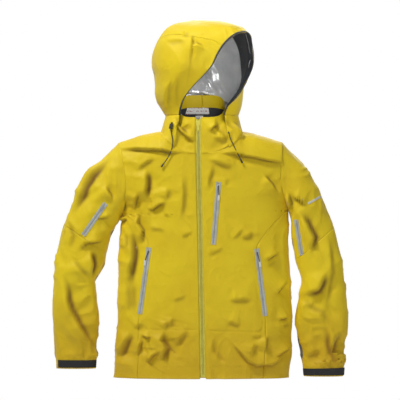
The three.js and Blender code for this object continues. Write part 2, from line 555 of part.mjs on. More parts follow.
// ---------------------------------------------------------------- hood drawcords
// Routes as hand-chosen points [x, y, height], down the front of the jacket.
const CORD_ROUTES = {
  right: [
    [-99, -76.3, 800], [-98, -76, 788], [-95, -79.3, 772], [-94, -80.6, 755],
    [-97, -80.6, 735], [-105, -80.3, 716], [-114, -80.3, 701], [-122, -80.8, 690],
  ],
  left: [[86, -82, 789], [87.5, -81.6, 782], [91, -80.4, 769], [99, -79.4, 752], [108, -78.8, 734], [117, -79.2, 716], [123, -80.2, 704]],
};
for (const [side, name] of sides) {
  const curve = new THREE.CatmullRomCurve3(CORD_ROUTES[name].map((p) => point(...p)));
  const section = new THREE.Shape().absarc(0, 0, CORD_RADIUS, 0, 2 * PI);
  const tube = new THREE.ExtrudeGeometry(section, { steps: 16, extrudePath: curve, curveSegments: 4 });
  add("hood_cord_" + name, tube, black);
  const end = curve.getPoint(1);
  const along = curve.getTangent(1);
  const knob = new THREE.CylinderGeometry(2.4, 3, 14, 10);
  knob.applyQuaternion(new THREE.Quaternion().setFromUnitVectors(point(0, -1, 0), along));
  add("cord_end_" + name, knob.translate(...end.clone().addScaledVector(along, 7 + SEAM)), black);
}
const lockTop = CORD_ROUTES.right[0];
const lock = cut(
  new THREE.CylinderGeometry(6, 6, 16, 16).rotateX(PI / 2).rotateY(0.2),
  new THREE.CylinderGeometry(3.4, 3.4, 9, 14).rotateX(PI / 2).rotateY(0.2).translate(1.2, 0, 5.9),
);
const lockAt = (g, lift) => g.translate(lockTop[0] + lift * 0.2, lockTop[1] + 0.3, lockTop[2] + 8.6 + lift);
add("cord_lock", lockAt(lock, 0), black);
const button = new THREE.CylinderGeometry(3, 3, 9, 14).rotateX(PI / 2).rotateY(0.2).translate(1.3, 0, 6.6);
add("cord_lock_button", lockAt(button, 2.5), black);
// The eyelet lies on the hood's neck where the left cord comes out; the right one is under the cord lock.
const eyelet = new THREE.CylinderGeometry(3.6, 3.6, 2, 14).rotateX(-0.18).rotateZ(0.28);
add("cord_eyelet_left", eyelet.translate(86, -78.9, 788.5), black);

// ---------------------------------------------------------------- origin at the seat of the hanger loop
jacket.position.set(0, -loopY, -(loopZ + LOOP.rise));
export default jacket;
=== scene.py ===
# %% [markdown]
# A waterproof jacket hangs from the small loop inside its collar. Its shell is one thin, stiffish
# cloth, cut into panels and sewn or taped together, so most of its look comes from three things:
# the big shape of each panel, the folds that cross several panels, and the small trims.
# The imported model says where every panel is. This lesson makes each panel again as a finer cloth
# over the same surface, and presses the folds into it.

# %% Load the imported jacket
import bpy
import bmesh
import math
import numpy as np
from mathutils import Matrix, Vector


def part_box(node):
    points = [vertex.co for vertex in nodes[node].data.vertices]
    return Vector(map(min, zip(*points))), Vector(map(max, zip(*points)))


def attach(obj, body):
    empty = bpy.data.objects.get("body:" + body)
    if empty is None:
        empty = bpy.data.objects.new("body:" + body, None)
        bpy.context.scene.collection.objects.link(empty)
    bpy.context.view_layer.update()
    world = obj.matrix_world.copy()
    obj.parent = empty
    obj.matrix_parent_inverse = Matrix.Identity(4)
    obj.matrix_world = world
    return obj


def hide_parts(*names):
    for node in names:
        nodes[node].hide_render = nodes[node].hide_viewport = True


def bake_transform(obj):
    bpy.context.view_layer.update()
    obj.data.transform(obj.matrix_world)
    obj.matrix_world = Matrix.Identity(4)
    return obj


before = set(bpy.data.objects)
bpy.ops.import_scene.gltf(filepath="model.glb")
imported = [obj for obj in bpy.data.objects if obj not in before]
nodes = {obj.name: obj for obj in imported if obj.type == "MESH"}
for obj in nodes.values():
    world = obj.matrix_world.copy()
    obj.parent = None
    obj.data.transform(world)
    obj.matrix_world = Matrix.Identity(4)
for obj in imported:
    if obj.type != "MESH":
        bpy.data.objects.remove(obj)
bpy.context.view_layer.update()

# %% [markdown]
# The jacket was drawn in millimetres above its hem, with y = 0 in the middle of its depth. The row
# frame is in metres from the seat of the hanger loop, so one function does the change for all.

# %% From the drawing's millimetres to the row frame
LOOP_Y = 63.2
LOOP_HEIGHT = 822


def to_row(points):
    """Points (x, y, height above the hem) in mm, as rows, to the row frame in metres."""
    return (np.asarray(points, float) - [0, LOOP_Y, LOOP_HEIGHT]) / 1000


loop_low, loop_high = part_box("hanger_loop")
print("hanger loop at rest", loop_low, loop_high)

# %% [markdown]
# The view is square on to the front from a long way off, so the jacket shows nearly no
# perspective. A long lens does that better than a camera with no perspective at all, because
# the sleeves and the hood still grow a little as they come forward.

# %% Camera
VIEW_WIDTH = 1.280
VIEW_CENTRE = (-0.0064, -0.2490)
LENS = 200
SENSOR = 36
camera_data = bpy.data.cameras.new("camera")
camera_data.lens = LENS
camera_data.sensor_width = SENSOR
camera_data.clip_end = 40
camera = bpy.data.objects.new("camera", camera_data)
bpy.context.scene.collection.objects.link(camera)
distance = VIEW_WIDTH * LENS / SENSOR
camera.location = (VIEW_CENTRE[0], -distance - 0.14, VIEW_CENTRE[1])
camera.rotation_euler = (math.pi / 2, 0, 0)
bpy.context.scene.camera = camera
print("camera stands", round(distance, 2), "m in front")

# %% [markdown]
# Cloth folds are read from their shading, so the light must come from one side. A large soft
# lamp high on the left gives each fold a bright and a dark flank, a weak one on the right keeps
# the dark flanks open, and the pale world fills the rest. Glossy rays see the world as bright as
# the camera does, so that shiny trims and the silver lining have something to reflect.

# %% World, lamps and floor
world = bpy.data.worlds.new("studio")
bpy.context.scene.world = world
world.use_nodes = True
tree = world.node_tree
tree.nodes.clear()
out = tree.nodes.new("ShaderNodeOutputWorld")
seen = tree.nodes.new("ShaderNodeBackground")
seen.inputs["Color"].default_value = (1, 1, 1, 1)
seen.inputs["Strength"].default_value = 1.0
fill = tree.nodes.new("ShaderNodeBackground")
fill.inputs["Color"].default_value = (1, 1, 1, 1)
fill.inputs["Strength"].default_value = 0.17
choose = tree.nodes.new("ShaderNodeMixShader")
ray = tree.nodes.new("ShaderNodeLightPath")
bright = tree.nodes.new("ShaderNodeMath")
bright.operation = "MAXIMUM"
tree.links.new(ray.outputs["Is Camera Ray"], bright.inputs[0])
tree.links.new(ray.outputs["Is Glossy Ray"], bright.inputs[1])
tree.links.new(bright.outputs[0], choose.inputs[0])
tree.links.new(fill.outputs[0], choose.inputs[1])
tree.links.new(seen.outputs[0], choose.inputs[2])
tree.links.new(choose.outputs[0], out.inputs[0])


def lamp(name, place, size, power):
    """A square soft lamp that looks at the middle of the jacket."""
    data = bpy.data.lights.new(name, "AREA")
    data.shape = "SQUARE"
    data.size = size
    data.energy = power
    made = bpy.data.objects.new(name, data)
    made.location = place
    aim = Vector((0, 0, -0.2)) - Vector(place)
    made.rotation_euler = aim.to_track_quat("-Z", "Y").to_euler()
    bpy.context.scene.collection.objects.link(made)
    return made


lamp("key", (-1.7, -1.7, 3.1), 0.7, 120)
lamp("side", (2.4, -2.4, 0.6), 1.6, 8)
lamp("low_front", (0.6, -4.4, 0.2), 0.8, 20)
spot = bpy.data.lights.new("hood_inside", "SPOT")
spot.energy = 34
spot.spot_size = math.radians(17)
spot.spot_blend = 1.0
spot.shadow_soft_size = 0.12
hood_light = bpy.data.objects.new("hood_inside", spot)
hood_light.location = (0.42, -1.5, 0.36)
hood_aim = Vector((0.03, 0.0, 0.14)) - hood_light.location
hood_light.rotation_euler = hood_aim.to_track_quat("-Z", "Y").to_euler()
bpy.context.scene.collection.objects.link(hood_light)
lamp("back", (0.6, 2.8, 1.6), 2.0, 55)
bpy.context.scene.view_settings.view_transform = "Standard"


def mesh_object(name, bm, materials=(), smooth=True):
    """A bmesh as an object of that name, with its materials and smooth faces."""
    data = bpy.data.meshes.new(name)
    for face in bm.faces:
        face.smooth = smooth
    bm.to_mesh(data)
    bm.free()
    for material in materials:
        data.materials.append(material)
    made = bpy.data.objects.new(name, data)
    bpy.context.scene.collection.objects.link(made)
    return made


def floor_disc():
    bm = bmesh.new()
    bmesh.ops.create_circle(bm, cap_ends=True, segments=96, radius=2.4)
    bmesh.ops.translate(bm, verts=bm.verts, vec=(0, 0, -1.25))
    return mesh_object("floor", bm, smooth=False)


floor = floor_disc()

# %% [markdown]
# Every finish here is procedural. The shell is a plain-woven nylon with a matt face: a very
# fine weave in its bump, soft blotches in its colour, and painted shade: a darker colour along
# the low side of each fold, and a colour that darkens towards the hem. Both shades come with
# the mesh as attributes.

# %% Node helpers and the cloth finish


class Shader:
    """A short way to write a material's nodes."""

    def __init__(self, name):
        self.material = bpy.data.materials.new(name)
        self.material.use_nodes = True
        self.tree = self.material.node_tree
        self.main = self.tree.nodes["Principled BSDF"]
        self.object_place = self.add("ShaderNodeTexCoord").outputs["Object"]

    def add(self, kind, inputs=(), **settings):
        node = self.tree.nodes.new(kind)
        for key, value in settings.items():
            setattr(node, key, value)
        for key, value in dict(inputs).items():
            if isinstance(value, bpy.types.NodeSocket):
                self.tree.links.new(value, node.inputs[key])
            else:
                node.inputs[key].default_value = value
        return node

    def noise(self, scale, detail=3, roughness=0.55, place=None):
        inputs = {"Vector": place or self.object_place, "Scale": scale, "Detail": detail,
                  "Roughness": roughness}
        return self.add("ShaderNodeTexNoise", inputs).outputs["Fac"]

    def maths(self, operation, a, b=0.0):
        return self.add("ShaderNodeMath", {0: a, 1: b}, operation=operation).outputs[0]

    def ramp(self, fac, stops):
        node = self.add("ShaderNodeValToRGB", {"Fac": fac})
        ramp = node.color_ramp
        while len(ramp.elements) < len(stops):
            ramp.elements.new(0.5)
        for element, (at, colour) in zip(ramp.elements, stops):
            element.position = at
            element.color = (*colour, 1)
        return node.outputs["Color"]

    def mix(self, fac, a, b, blend="MIX"):
        node = self.add("ShaderNodeMix", data_type="RGBA", blend_type=blend)
        for socket, value in ((0, fac), (6, a), (7, b)):
            if isinstance(value, bpy.types.NodeSocket):
                self.tree.links.new(value, node.inputs[socket])
            else:
                node.inputs[socket].default_value = value if socket == 0 else (*value, 1)
        return node.outputs[2]

    def link(self, socket, name):
        self.tree.links.new(socket, self.main.inputs[name])

    def bump(self, height, distance, strength=1.0, below=None):
        inputs = {"Height": height, "Distance": distance, "Strength": strength}
        if below:
            inputs["Normal"] = below
        return self.add("ShaderNodeBump", inputs).outputs[0]

    def weave(self, scale, place=None):
        """Over-and-under threads, scale threads to a metre."""
        parts = self.add("ShaderNodeSeparateXYZ", {0: place or self.object_place})
        waves = []
        for axis in (0, 2):
            turns = self.maths("MULTIPLY", parts.outputs[axis], scale * math.pi)
            waves.append(self.maths("SINE", turns))
        return self.maths("MULTIPLY", waves[0], waves[1])

    def uneven_roughness(self, scale, middle, spread):
        """Roughness that drifts by spread to each side of its middle value."""
        steps = [(0.3, (middle - spread,) * 3), (0.7, (middle + spread,) * 3)]
        self.link(self.ramp(self.noise(scale, 2), steps), "Roughness")


def srgb(code):
    """A colour written as six hex digits, as the linear values that a shader takes."""
    values = [int(code[i:i + 2], 16) / 255 for i in (0, 2, 4)]
    return tuple(v / 12.92 if v <= 0.04045 else ((v + 0.055) / 1.055) ** 2.4 for v in values)


def shell_cloth(name, light, plain, deep, fold_shade_colour):
    """The jacket's outer cloth in one colour family."""
    s = Shader(name)
    blotch = s.noise(7, 4)
    colour = s.ramp(blotch, [(0.30, plain), (0.62, light)])
    # painted shade: a dark fold colour is mixed in along the low side of each fold
    fold_shade = s.add("ShaderNodeAttribute", attribute_name="fold_shade").outputs["Fac"]
    colour = s.mix(s.maths("MINIMUM", fold_shade, 1.0), colour, fold_shade_colour)
    # painted shade: the colour turns towards the deeper yellow near the hem
    hem_shade = s.add("ShaderNodeAttribute", attribute_name="hem_shade").outputs["Fac"]
    colour = s.mix(hem_shade, colour, deep)
    s.link(colour, "Base Color")
    s.link(s.ramp(s.noise(900, 2), [(0.3, (0.50,) * 3), (0.7, (0.64,) * 3)]), "Roughness")
    fine = s.add("ShaderNodeTexNoise",
                 {"Vector": s.object_place, "Scale": 26.0, "Detail": 2.5, "Distortion": 0.8},
                 noise_type="RIDGED_MULTIFRACTAL")
    crumple = s.bump(fine.outputs["Fac"], 0.0034, 0.55)
    s.link(s.bump(s.weave(1700), 0.00012, 0.35, crumple), "Normal")
    s.main.inputs["Sheen Weight"].default_value = 0.12
    s.main.inputs["Sheen Roughness"].default_value = 0.45
    s.main.inputs["Specular IOR Level"].default_value = 0.30
    return s.material


# the last two colours are painted shade: a deeper yellow towards the hem and a dark brownish yellow in the
# bottoms of folds
shell_finish = shell_cloth("shell_cloth", srgb("eace18"), srgb("dfbf12"), srgb("bd9212"), srgb("7d5c0c"))
print("made", shell_finish.name)


def plain_cloth(name, light, dark, threads, roughness, depth=0.0002, sheen=0.1):
    """A plain woven or knitted cloth: two close colours, a weave and a little sheen."""
    s = Shader(name)
    s.link(s.ramp(s.noise(30, 4), [(0.3, dark), (0.7, light)]), "Base Color")
    s.uneven_roughness(500, roughness, 0.06)
    s.link(s.bump(s.weave(threads), depth, 0.6), "Normal")
    s.main.inputs["Sheen Weight"].default_value = sheen
    return s.material


backer_finish = plain_cloth("pale_backer", srgb("c9cac6"), srgb("b4b6b4"), 900, 0.5)
charcoal_finish = plain_cloth("charcoal_facing", srgb("33363c"), srgb("26282e"), 900, 0.7)
floor.data.materials.append(plain_cloth("pale_floor", srgb("f4f4f2"), srgb("efefed"), 60, 0.8, 0.0001, 0))

# %% [markdown]
# A panel's outline is not a straight line, but a few measured places with a smooth curve through
# them. `through` makes such a curve, and every edge of the jacket is one: the sides of the body,
# the armholes, the seams that carry the hand pockets, and the two edges of each sleeve.

# %% Curves through measured places
def through(*knots):
    """A smooth curve through [place, value, ...] rows, as a function of the place."""
    table = np.array(knots, float)
    last = len(table) - 1

    def curve(at):
        at = np.clip(np.asarray(at, float), table[0, 0], table[-1, 0])
        k = np.clip(np.searchsorted(table[:, 0], at) - 1, 0, last - 1)
        a, b = table[k], table[k + 1]
        before, after = table[np.maximum(k - 1, 0)], table[np.minimum(k + 2, last)]
        step = (b - a)[..., :1]
        t = (at - a[..., 0])[..., None] / step
        start = step * (b - before)[..., 1:] / (b - before)[..., :1]
        end = step * (after - a)[..., 1:] / (after - a)[..., :1]
        value = (1 + 2 * t) * (1 - t) ** 2 * a[..., 1:] + t * (1 - t) ** 2 * start
        value = value + t * t * (3 - 2 * t) * b[..., 1:] - t * t * (1 - t) * end
        return value[..., 0] if value.shape[-1] == 1 else value

    return curve


def mix(a, b, t):
    return a + (b - a) * t


def smooth(t):
    t = np.clip(t, 0, 1)
    return t * t * (3 - 2 * t)


def power(x, p):
    return np.sign(x) * np.abs(x) ** p


def stack(x, y, z):
    return np.stack(np.broadcast_arrays(x, y, z), -1).astype(float)


# %% [markdown]
# The body is a flattened tube: two shallow shells, 80 mm deep each, whose section is between an
# ellipse and a rectangle. Near the shoulders the shells roll over until they meet. Side -1 is
# the wearer's right, which is -X, and heights are in mm above the hem.

# %% The body's surface
DEPTH = 80
ROUND = 2.3
SHOULDER_ROLL = 70
NECK_HALF = 134
NECK_FRONT = 726
NECK_SIDE = 794
NECK_BACK = 800
SHOULDER_END = 759
PLACKET_HALF = 9
BACK_SEAM = 205
side_edge = {
    -1: through([0, 282], [60, 278], [160, 273], [400, 266], [531, 258]),
    1: through([0, 281], [60, 287], [200, 290], [320, 287], [400, 281], [531, 279]),
}
armhole = {
    -1: through([525, 257], [620, 243], [SHOULDER_END, 268]),
    1: through([537, 279], [620, 255], [SHOULDER_END, 260]),
}
armpit = {-1: 525, 1: 537}
pocket_seam = {
    -1: through([0, 206], [195, 201], [416, 171], [480, 196], [531, 250]),
    1: through([0, 196], [195, 203], [416, 176], [480, 215], [537, 271]),
}
shoulder_end = {side: float(armhole[side](SHOULDER_END)) for side in (-1, 1)}


def zip_x(h):
    """The front zip leans a little."""
    return -0.02 * (h - 420) - 5


def shoulder_height(side, x):
    along = (x - NECK_HALF) / (shoulder_end[side] - NECK_HALF)
    slope = mix(NECK_SIDE, SHOULDER_END, np.maximum(along, 0) ** 1.25)
    return np.where(along > 0, slope, NECK_SIDE + 1.4 * (NECK_HALF - x))


def neck_height(x, back):
    centre = NECK_BACK if back else NECK_FRONT
    return centre + (NECK_SIDE - centre) * np.minimum(np.abs(x) / NECK_HALF, 1) ** 3


def body_depth(side, x, h):
    x = np.abs(x)
    low = side_edge[side](h)
    high = mix(side_edge[side](armpit[side]), 330, smooth((h - armpit[side]) / 120))
    wide = np.where(h < armpit[side], low, high)
    across = (1 - np.minimum(x / wide, 1) ** ROUND) ** (1 / ROUND)
    roll = np.clip((shoulder_height(side, x) - h) / SHOULDER_ROLL, 0, 1)
    return 0.2 + DEPTH * across * np.sqrt(1 - (1 - roll) ** 2)


def body_point(side, x, h, back=False):
    return stack(side * x, (1 if back else -1) * body_depth(side, x, h), h)


def panel_height(side, x, v, back=False):
    """The height of share v of a column that ends at a top seam, with even steps over the roll."""
    neck = np.abs(x) < NECK_HALF
    top = np.where(neck, neck_height(x, back), shoulder_height(side, np.abs(x)))
    turn = 118
    walked = v * (top - SHOULDER_ROLL + turn)
    flat = top - SHOULDER_ROLL
    rolled = flat + SHOULDER_ROLL * np.sin(np.clip((walked - flat) / turn, 0, 1) * math.pi / 2)
    rolled = np.where(walked < flat, walked, rolled)
    return mix(v * top, rolled, smooth((np.abs(x) - 88) / 46))


def front_surface(side):
    """Front panel and its hem, from the zip to the pocket seam and the armhole."""

    def surface(u, v):
        share = u if side > 0 else 1 - u
        middle = side * zip_x(NECK_FRONT) + PLACKET_HALF
        h = panel_height(side, mix(middle, shoulder_end[side], share), v)
        inner = side * zip_x(h) + PLACKET_HALF
        outer = np.where(h < armpit[side], pocket_seam[side](h), armhole[side](h))
        return body_point(side, mix(inner, outer, share), h)

    return surface


def side_surface(side):
    """Side panel: round the edge of the body, by angle, from the pocket seam to the back seam."""

    def surface(u, v):
        share = u if side > 0 else 1 - u
        h = v * armpit[side]
        edge = side_edge[side](h)
        seam = mix(BACK_SEAM, edge - 1, smooth((h - 430) / (armpit[side] - 430)))
        first = np.arcsin(np.minimum(pocket_seam[side](h) / edge, 1) ** (ROUND / 2))
        last = math.pi - np.arcsin(np.minimum(seam / edge, 1) ** (ROUND / 2))
        angle = mix(first, last, share)
        y = -DEPTH * power(np.cos(angle), 2 / ROUND)
        return stack(side * edge * np.abs(np.sin(angle)) ** (2 / ROUND), y, h)

    return surface


def back_surface(u, v):
    """The back: one panel from armhole to armhole."""
    share = np.abs(1 - 2 * u)
    made = {}
    for side in (-1, 1):
        h = panel_height(side, share * shoulder_end[side], v, True)
        seam = mix(BACK_SEAM, side_edge[side](h) - 1, smooth((h - 430) / (armpit[side] - 430)))
        outer = np.where(h < armpit[side], seam, armhole[side](h))
        made[side] = body_point(side, share * outer, h, True)
    return np.where((u < 0.5)[..., None], made[1], made[-1])


print("width at the hem", side_edge[1](0) + side_edge[-1](0), "mm")

# %% [markdown]
# A sleeve is a tube between two curved edges, and near the armhole it turns into the armhole's
# own curve, so that the two share a seam. Angle 0 is the outer edge, a quarter turn the front.

# %% The sleeves' surface
sleeve_outer = {
    -1: through([0, 268, 759], [0.1, 322, 706], [0.25, 380, 632], [0.45, 442, 500], [0.62, 477, 350],
                [0.8, 478, 190], [1, 471, 29]),
    1: through([0, 260, 759], [0.1, 309, 710], [0.25, 362, 636], [0.45, 424, 490], [0.62, 458, 352],
               [0.8, 468, 190], [1, 457, 4]),
}
sleeve_inner = {
    -1: through([0, 257, 525], [0.1, 272, 503], [0.25, 291, 465], [0.45, 306, 405], [0.56, 322, 345],
                [0.63, 346, 303], [0.71, 342, 250], [0.8, 334, 185], [1, 343, 29]),
    1: through([0, 279, 537], [0.1, 287, 512], [0.25, 289, 470], [0.45, 303, 385], [0.57, 323, 312],
               [0.64, 312, 265], [0.8, 307, 155], [0.92, 322, 70], [1, 329, 4]),
}
sleeve_half = through([0, 60], [0.25, 55], [0.6, 44], [0.85, 34], [1, 30])


def sleeve_point(side, share, angle):
    outer, inner = sleeve_outer[side](share), sleeve_inner[side](share)
    across = power(np.cos(angle), 2 / ROUND)
    deep = power(np.sin(angle), 2 / ROUND)
    t = (1 + across) / 2
    made = stack(side * mix(inner[..., 0], outer[..., 0], t), -sleeve_half(share) * deep,
                 mix(inner[..., 1], outer[..., 1], t))
    h = mix(armpit[side], SHOULDER_END, (1 + np.cos(angle)) / 2)
    x = armhole[side](h)
    seam = stack(side * x, -np.sign(np.sin(angle)) * body_depth(side, x, h), h)
    tucked = 3 * np.clip(1 - share / 0.01, 0, 1)
    return seam + (made - seam) * smooth(share / 0.16)[..., None] - stack(side * tucked, 0, 0)


def sleeve_surface(side, first, last):
    def surface(u, v):
        angle = math.pi * (1 - 2 * u) if side > 0 else math.pi * (2 * u - 1)
        return sleeve_point(side, mix(last, first, v) + 0 * u, angle)

    return surface


# %% [markdown]
# Collar and hood both start from the neckline. The collar leans in to a narrow rim. The hood's
# neck runs outside it to a ring, and above the ring the hood is a row of hoops that are turned
# towards the wearer's left, because the empty hood has flopped that way.

# %% The collar's and the hood's surfaces
HOOD_SEAM = 845
HOOD_OPEN = 0.62
HOOD_TURN = math.radians(47)
HOOD_FLARE = 26


def neckline(angle):
    x = NECK_HALF * np.abs(power(np.sin(angle), 0.8))
    points = np.zeros(np.shape(angle) + (3,))
    for side in (-1, 1):
        for back in (False, True):
            here = (np.where(np.sin(angle) < 0, -1, 1) == side) & ((np.cos(angle) < 0) == back)
            h = neck_height(x, back)
            points = np.where(here[..., None], body_point(side, x, h, back), points)
    return points


def collar_point(angle, share):
    base = neckline(angle)
    shrink = 1 - 7 * smooth(np.abs(angle) * 2.2) / NECK_HALF
    front = np.cos(angle) > 0
    top = mix(838, 915, smooth((1 - np.cos(angle)) / 2))
    drift = np.where(front, 1 - np.abs(np.sin(angle)), 0)
    base_x = base[..., 0] * shrink + drift * zip_x(NECK_FRONT)
    rim_x = 74 * power(np.sin(angle), 0.85) + drift * zip_x(top)
    rim_y = -np.where(front, DEPTH, 58) * power(np.cos(angle), 0.6)
    tube = 1 - (1 - share) ** 1.6
    x, y = mix(base_x, rim_x, tube), mix(base[..., 1] * shrink, rim_y, tube)
    return stack(x, y, mix(base[..., 2] - 4, top, share))


def collar_surface(side):
    def surface(u, v):
        share = u if side > 0 else 1 - u
        start = mix(0.034, 0.084, v)
        return collar_point(side * mix(start, math.pi, share), v)

    return surface


def hood_ring(angle):
    deep = np.where(np.cos(angle) > 0, 88, 96)
    return stack(118 * power(np.sin(angle), 0.9), -deep * power(np.cos(angle), 0.9), HOOD_SEAM)


def hood_neck_surface(side):
    def surface(u, v):
        share = u if side > 0 else 1 - u
        angle = side * mix(HOOD_OPEN, math.pi, share)
        base = neckline(angle) - [0, 0, 4]
        return base + (hood_ring(angle) - base) * v[..., None]

    return surface


hood_ridge = through([0, -190, 1106], [0.12, -150, 1131], [0.35, -44, 1149], [0.6, 78, 1141],
                     [0.82, 144, 1025], [1, 96, HOOD_SEAM])
hood_foot = through([0, HOOD_OPEN], [1, 1.75])
hood_bulge = through([0, 104, 150], [0.3, 186, 170], [0.6, 204, 165], [0.85, 160, 100], [1, 40, 0])


def hood_hoop(share, across):
    """One hoop of the hood; across is -1 at one foot, 0 at the ridge and 1 at the other foot."""
    side = np.where(across < 0, -1, 1)
    foot = hood_ring(side * hood_foot(share))
    ridge_place, bulge = hood_ridge(share), hood_bulge(share)
    wide, rise = bulge[..., 0], bulge[..., 1]
    end = smooth((share - 0.8) / 0.2)
    ridge = stack(0 * share, ridge_place[..., 0], ridge_place[..., 1])
    lean = wide * np.where(side < 0, 0.42, 0.2) * smooth(share / 0.3)
    low = foot + stack(side * mix(lean, -6, end), mix(-12, 46, end), mix(rise * 0.9, 0, end))
    high = ridge + stack(side * wide * 0.95, mix(14, 0, end), mix(-6, 0, end))
    t = (1 - np.abs(across))[..., None]
    made = (1 - t) ** 3 * foot + 3 * (1 - t) ** 2 * t * low + 3 * (1 - t) * t * t * high + t ** 3 * ridge
    turn = HOOD_TURN * smooth((made[..., 2] - HOOD_SEAM) / 170)
    flare = HOOD_FLARE * smooth(1 - share / 0.3) * smooth((across - 0.22) / 0.4) * smooth((1 - across) / 0.2)
    x = made[..., 0] * np.cos(turn) - made[..., 1] * np.sin(turn) + flare
    y = made[..., 0] * np.sin(turn) + made[..., 1] * np.cos(turn)
    return stack(x, y, made[..., 2])


def hood_surface(first, last, front=0.0, back=1.0):
    def surface(u, v):
        return hood_hoop(mix(back, front, v), mix(last, first, u))

    return surface


print("hood's top", hood_hoop(np.array([0.35]), np.array([0.0])))

# %% [markdown]
# Nothing in cloth is perfectly straight or even, so all the relief that follows is disturbed by
# one smooth noise: a seeded lattice of random numbers, with a soft curve between neighbours.

# %% A seeded, smooth noise
lattice = np.random.default_rng(20).uniform(-1, 1, (97, 97))


def value_noise(x, y):
    size = lattice.shape[0]
    i, j = np.floor(x).astype(int), np.floor(y).astype(int)
    fx, fy = x - i, y - j
    fx, fy = fx ** 3 * (fx * (6 * fx - 15) + 10), fy ** 3 * (fy * (6 * fy - 15) + 10)
    a = mix(lattice[i % size, j % size], lattice[(i + 1) % size, j % size], fx)
    b = mix(lattice[i % size, (j + 1) % size], lattice[(i + 1) % size, (j + 1) % size], fx)
    return mix(a, b, fy)


# %% [markdown]
# The folds come next. A hanging shell has long soft folds where cloth spare in the body falls
# from the shoulders, and short hard creases where it has been packed. Each is a line of a few
# places (x, height). Across it the cloth makes a step: it stands proud on the side of the light,
# drops sharply over the line and comes back slowly, and both ends fade out. A kind of fold is
# its height, the sharpness of its edge and its reach, in mm. All panels read the same list, so
# a fold runs on over a seam without a break.

# %% Fold lines on the front of the jacket
HARD = (9.4, 2.3, 22)
SOFT = (5.2, 4.6, 26)
BROAD = (13.0, 5.0, 36)
FAINT = (2.8, 3.6, 24)
body_folds = [
    (HARD, (-285, 739), (-166, 733), (-54, 726)),
    (HARD, (54, 721), (106, 717), (166, 708), (238, 692), (290, 686)),
    (SOFT, (19, 701), (64, 685), (109, 674)),
    (HARD, (-286, 707), (-276, 688), (-269, 656)),
    (SOFT, (-203, 659), (-192, 682), (-173, 696), (-147, 701)),
    (BROAD, (-173, 672), (-178, 640), (-180, 606), (-173, 573)),
    (HARD, (-202, 595), (-213, 570), (-219, 544)),
    (HARD, (-173, 544), (-156, 539), (-135, 555), (-115, 561)),
    (SOFT, (-106, 614), (-117, 570)),
    (SOFT, (-58, 662), (-56, 611), (-61, 560), (-72, 499)),
    (HARD, (-198, 538), (-205, 499), (-190, 477), (-189, 426)),
    (BROAD, (-227, 483), (-225, 448), (-218, 413), (-228, 350), (-237, 285)),
    (SOFT, (-246, 467), (-240, 413)),
    (SOFT, (-240, 317), (-238, 205)),
    (SOFT, (-227, 317), (-225, 205)),
    (FAINT, (-70, 451), (-33, 466)),
    (FAINT, (-173, 480), (-112, 474)),
    (BROAD, (-275, 590), (-275, 566), (-268, 530)),
    (HARD, (-264, 502), (-243, 518)),
    (HARD, (198, 651), (227, 618), (243, 589)),
    (SOFT, (29, 682), (26, 640), (29, 602)),
    (FAINT, (77, 646), (75, 618)),
    (SOFT, (125, 448), (149, 454), (166, 470)),
    (FAINT, (96, 448), (136, 480)),
    (FAINT, (16, 394), (72, 419)),
    (HARD, (243, 275), (266, 298), (277, 314)),
    (HARD, (243, 192), (277, 195)),
    (SOFT, (259, 168), (277, 182)),
    (HARD, (202, 381), (250, 401)),
    (FAINT, (208, 362), (240, 380)),
    (BROAD, (-227, 147), (-243, 122), (-272, 64)),
    (HARD, (-195, 128), (-203, 96), (-207, 72)),
    (HARD, (-196, 144), (-180, 133), (-164, 134)),
    (SOFT, (-218, 157), (-192, 186)),
    (SOFT, (-117, 162), (-107, 186)),
    (SOFT, (-100, 163), (-88, 198)),
    (BROAD, (-118, 154), (-128, 122), (-111, 96), (-125, 72), (-141, 54)),
    (SOFT, (-39, 154), (-70, 125), (-86, 100)),
    (FAINT, (-102, 246), (-50, 262)),
    (HARD, (-180, 61), (-168, 54), (-156, 72), (-135, 83)),
    (HARD, (85, 122), (108, 100), (128, 77), (149, 54), (177, 42), (227, 45), (278, 77)),
    (SOFT, (36, 134), (38, 90), (64, 61), (92, 50)),
    (SOFT, (75, 190), (108, 176), (124, 174)),
    (SOFT, (83, 246), (136, 256), (166, 250)),
    (HARD, (205, 138), (210, 112), (204, 77)),
    (SOFT, (171, 112), (166, 72)),
    (FAINT, (160, 134), (194, 134)),
    (HARD, (240, 70), (262, 83), (282, 93)),
]
sleeve_folds = [
    (BROAD, (-299, 717), (-347, 656), (-385, 590), (-429, 525)),
    (SOFT, (-433, 509), (-417, 461), (-429, 413)),
    (HARD, (-310, 624), (-294, 586), (-291, 570)),
    (HARD, (-369, 499), (-342, 518), (-294, 515)),
    (HARD, (-397, 410), (-369, 435), (-310, 445)),
    (BROAD, (-358, 410), (-346, 365), (-352, 317)),
    (SOFT, (-422, 386), (-358, 317)),
    (BROAD, (-447, 342), (-436, 283), (-417, 219), (-390, 160), (-358, 106), (-334, 77)),
    (HARD, (272, 598), (282, 560), (278, 534)),
    (HARD, (282, 582), (310, 572), (339, 557)),
    (BROAD, (314, 534), (344, 496), (365, 454), (349, 401)),
    (BROAD, (326, 262), (371, 285), (406, 338)),
    (SOFT, (317, 253), (349, 221), (387, 205), (406, 157)),
    (BROAD, (397, 166), (422, 83), (438, 157)),
    (SOFT, (333, 58), (387, 93)),
    (SOFT, (406, 477), (419, 342), (392, 211)),
]


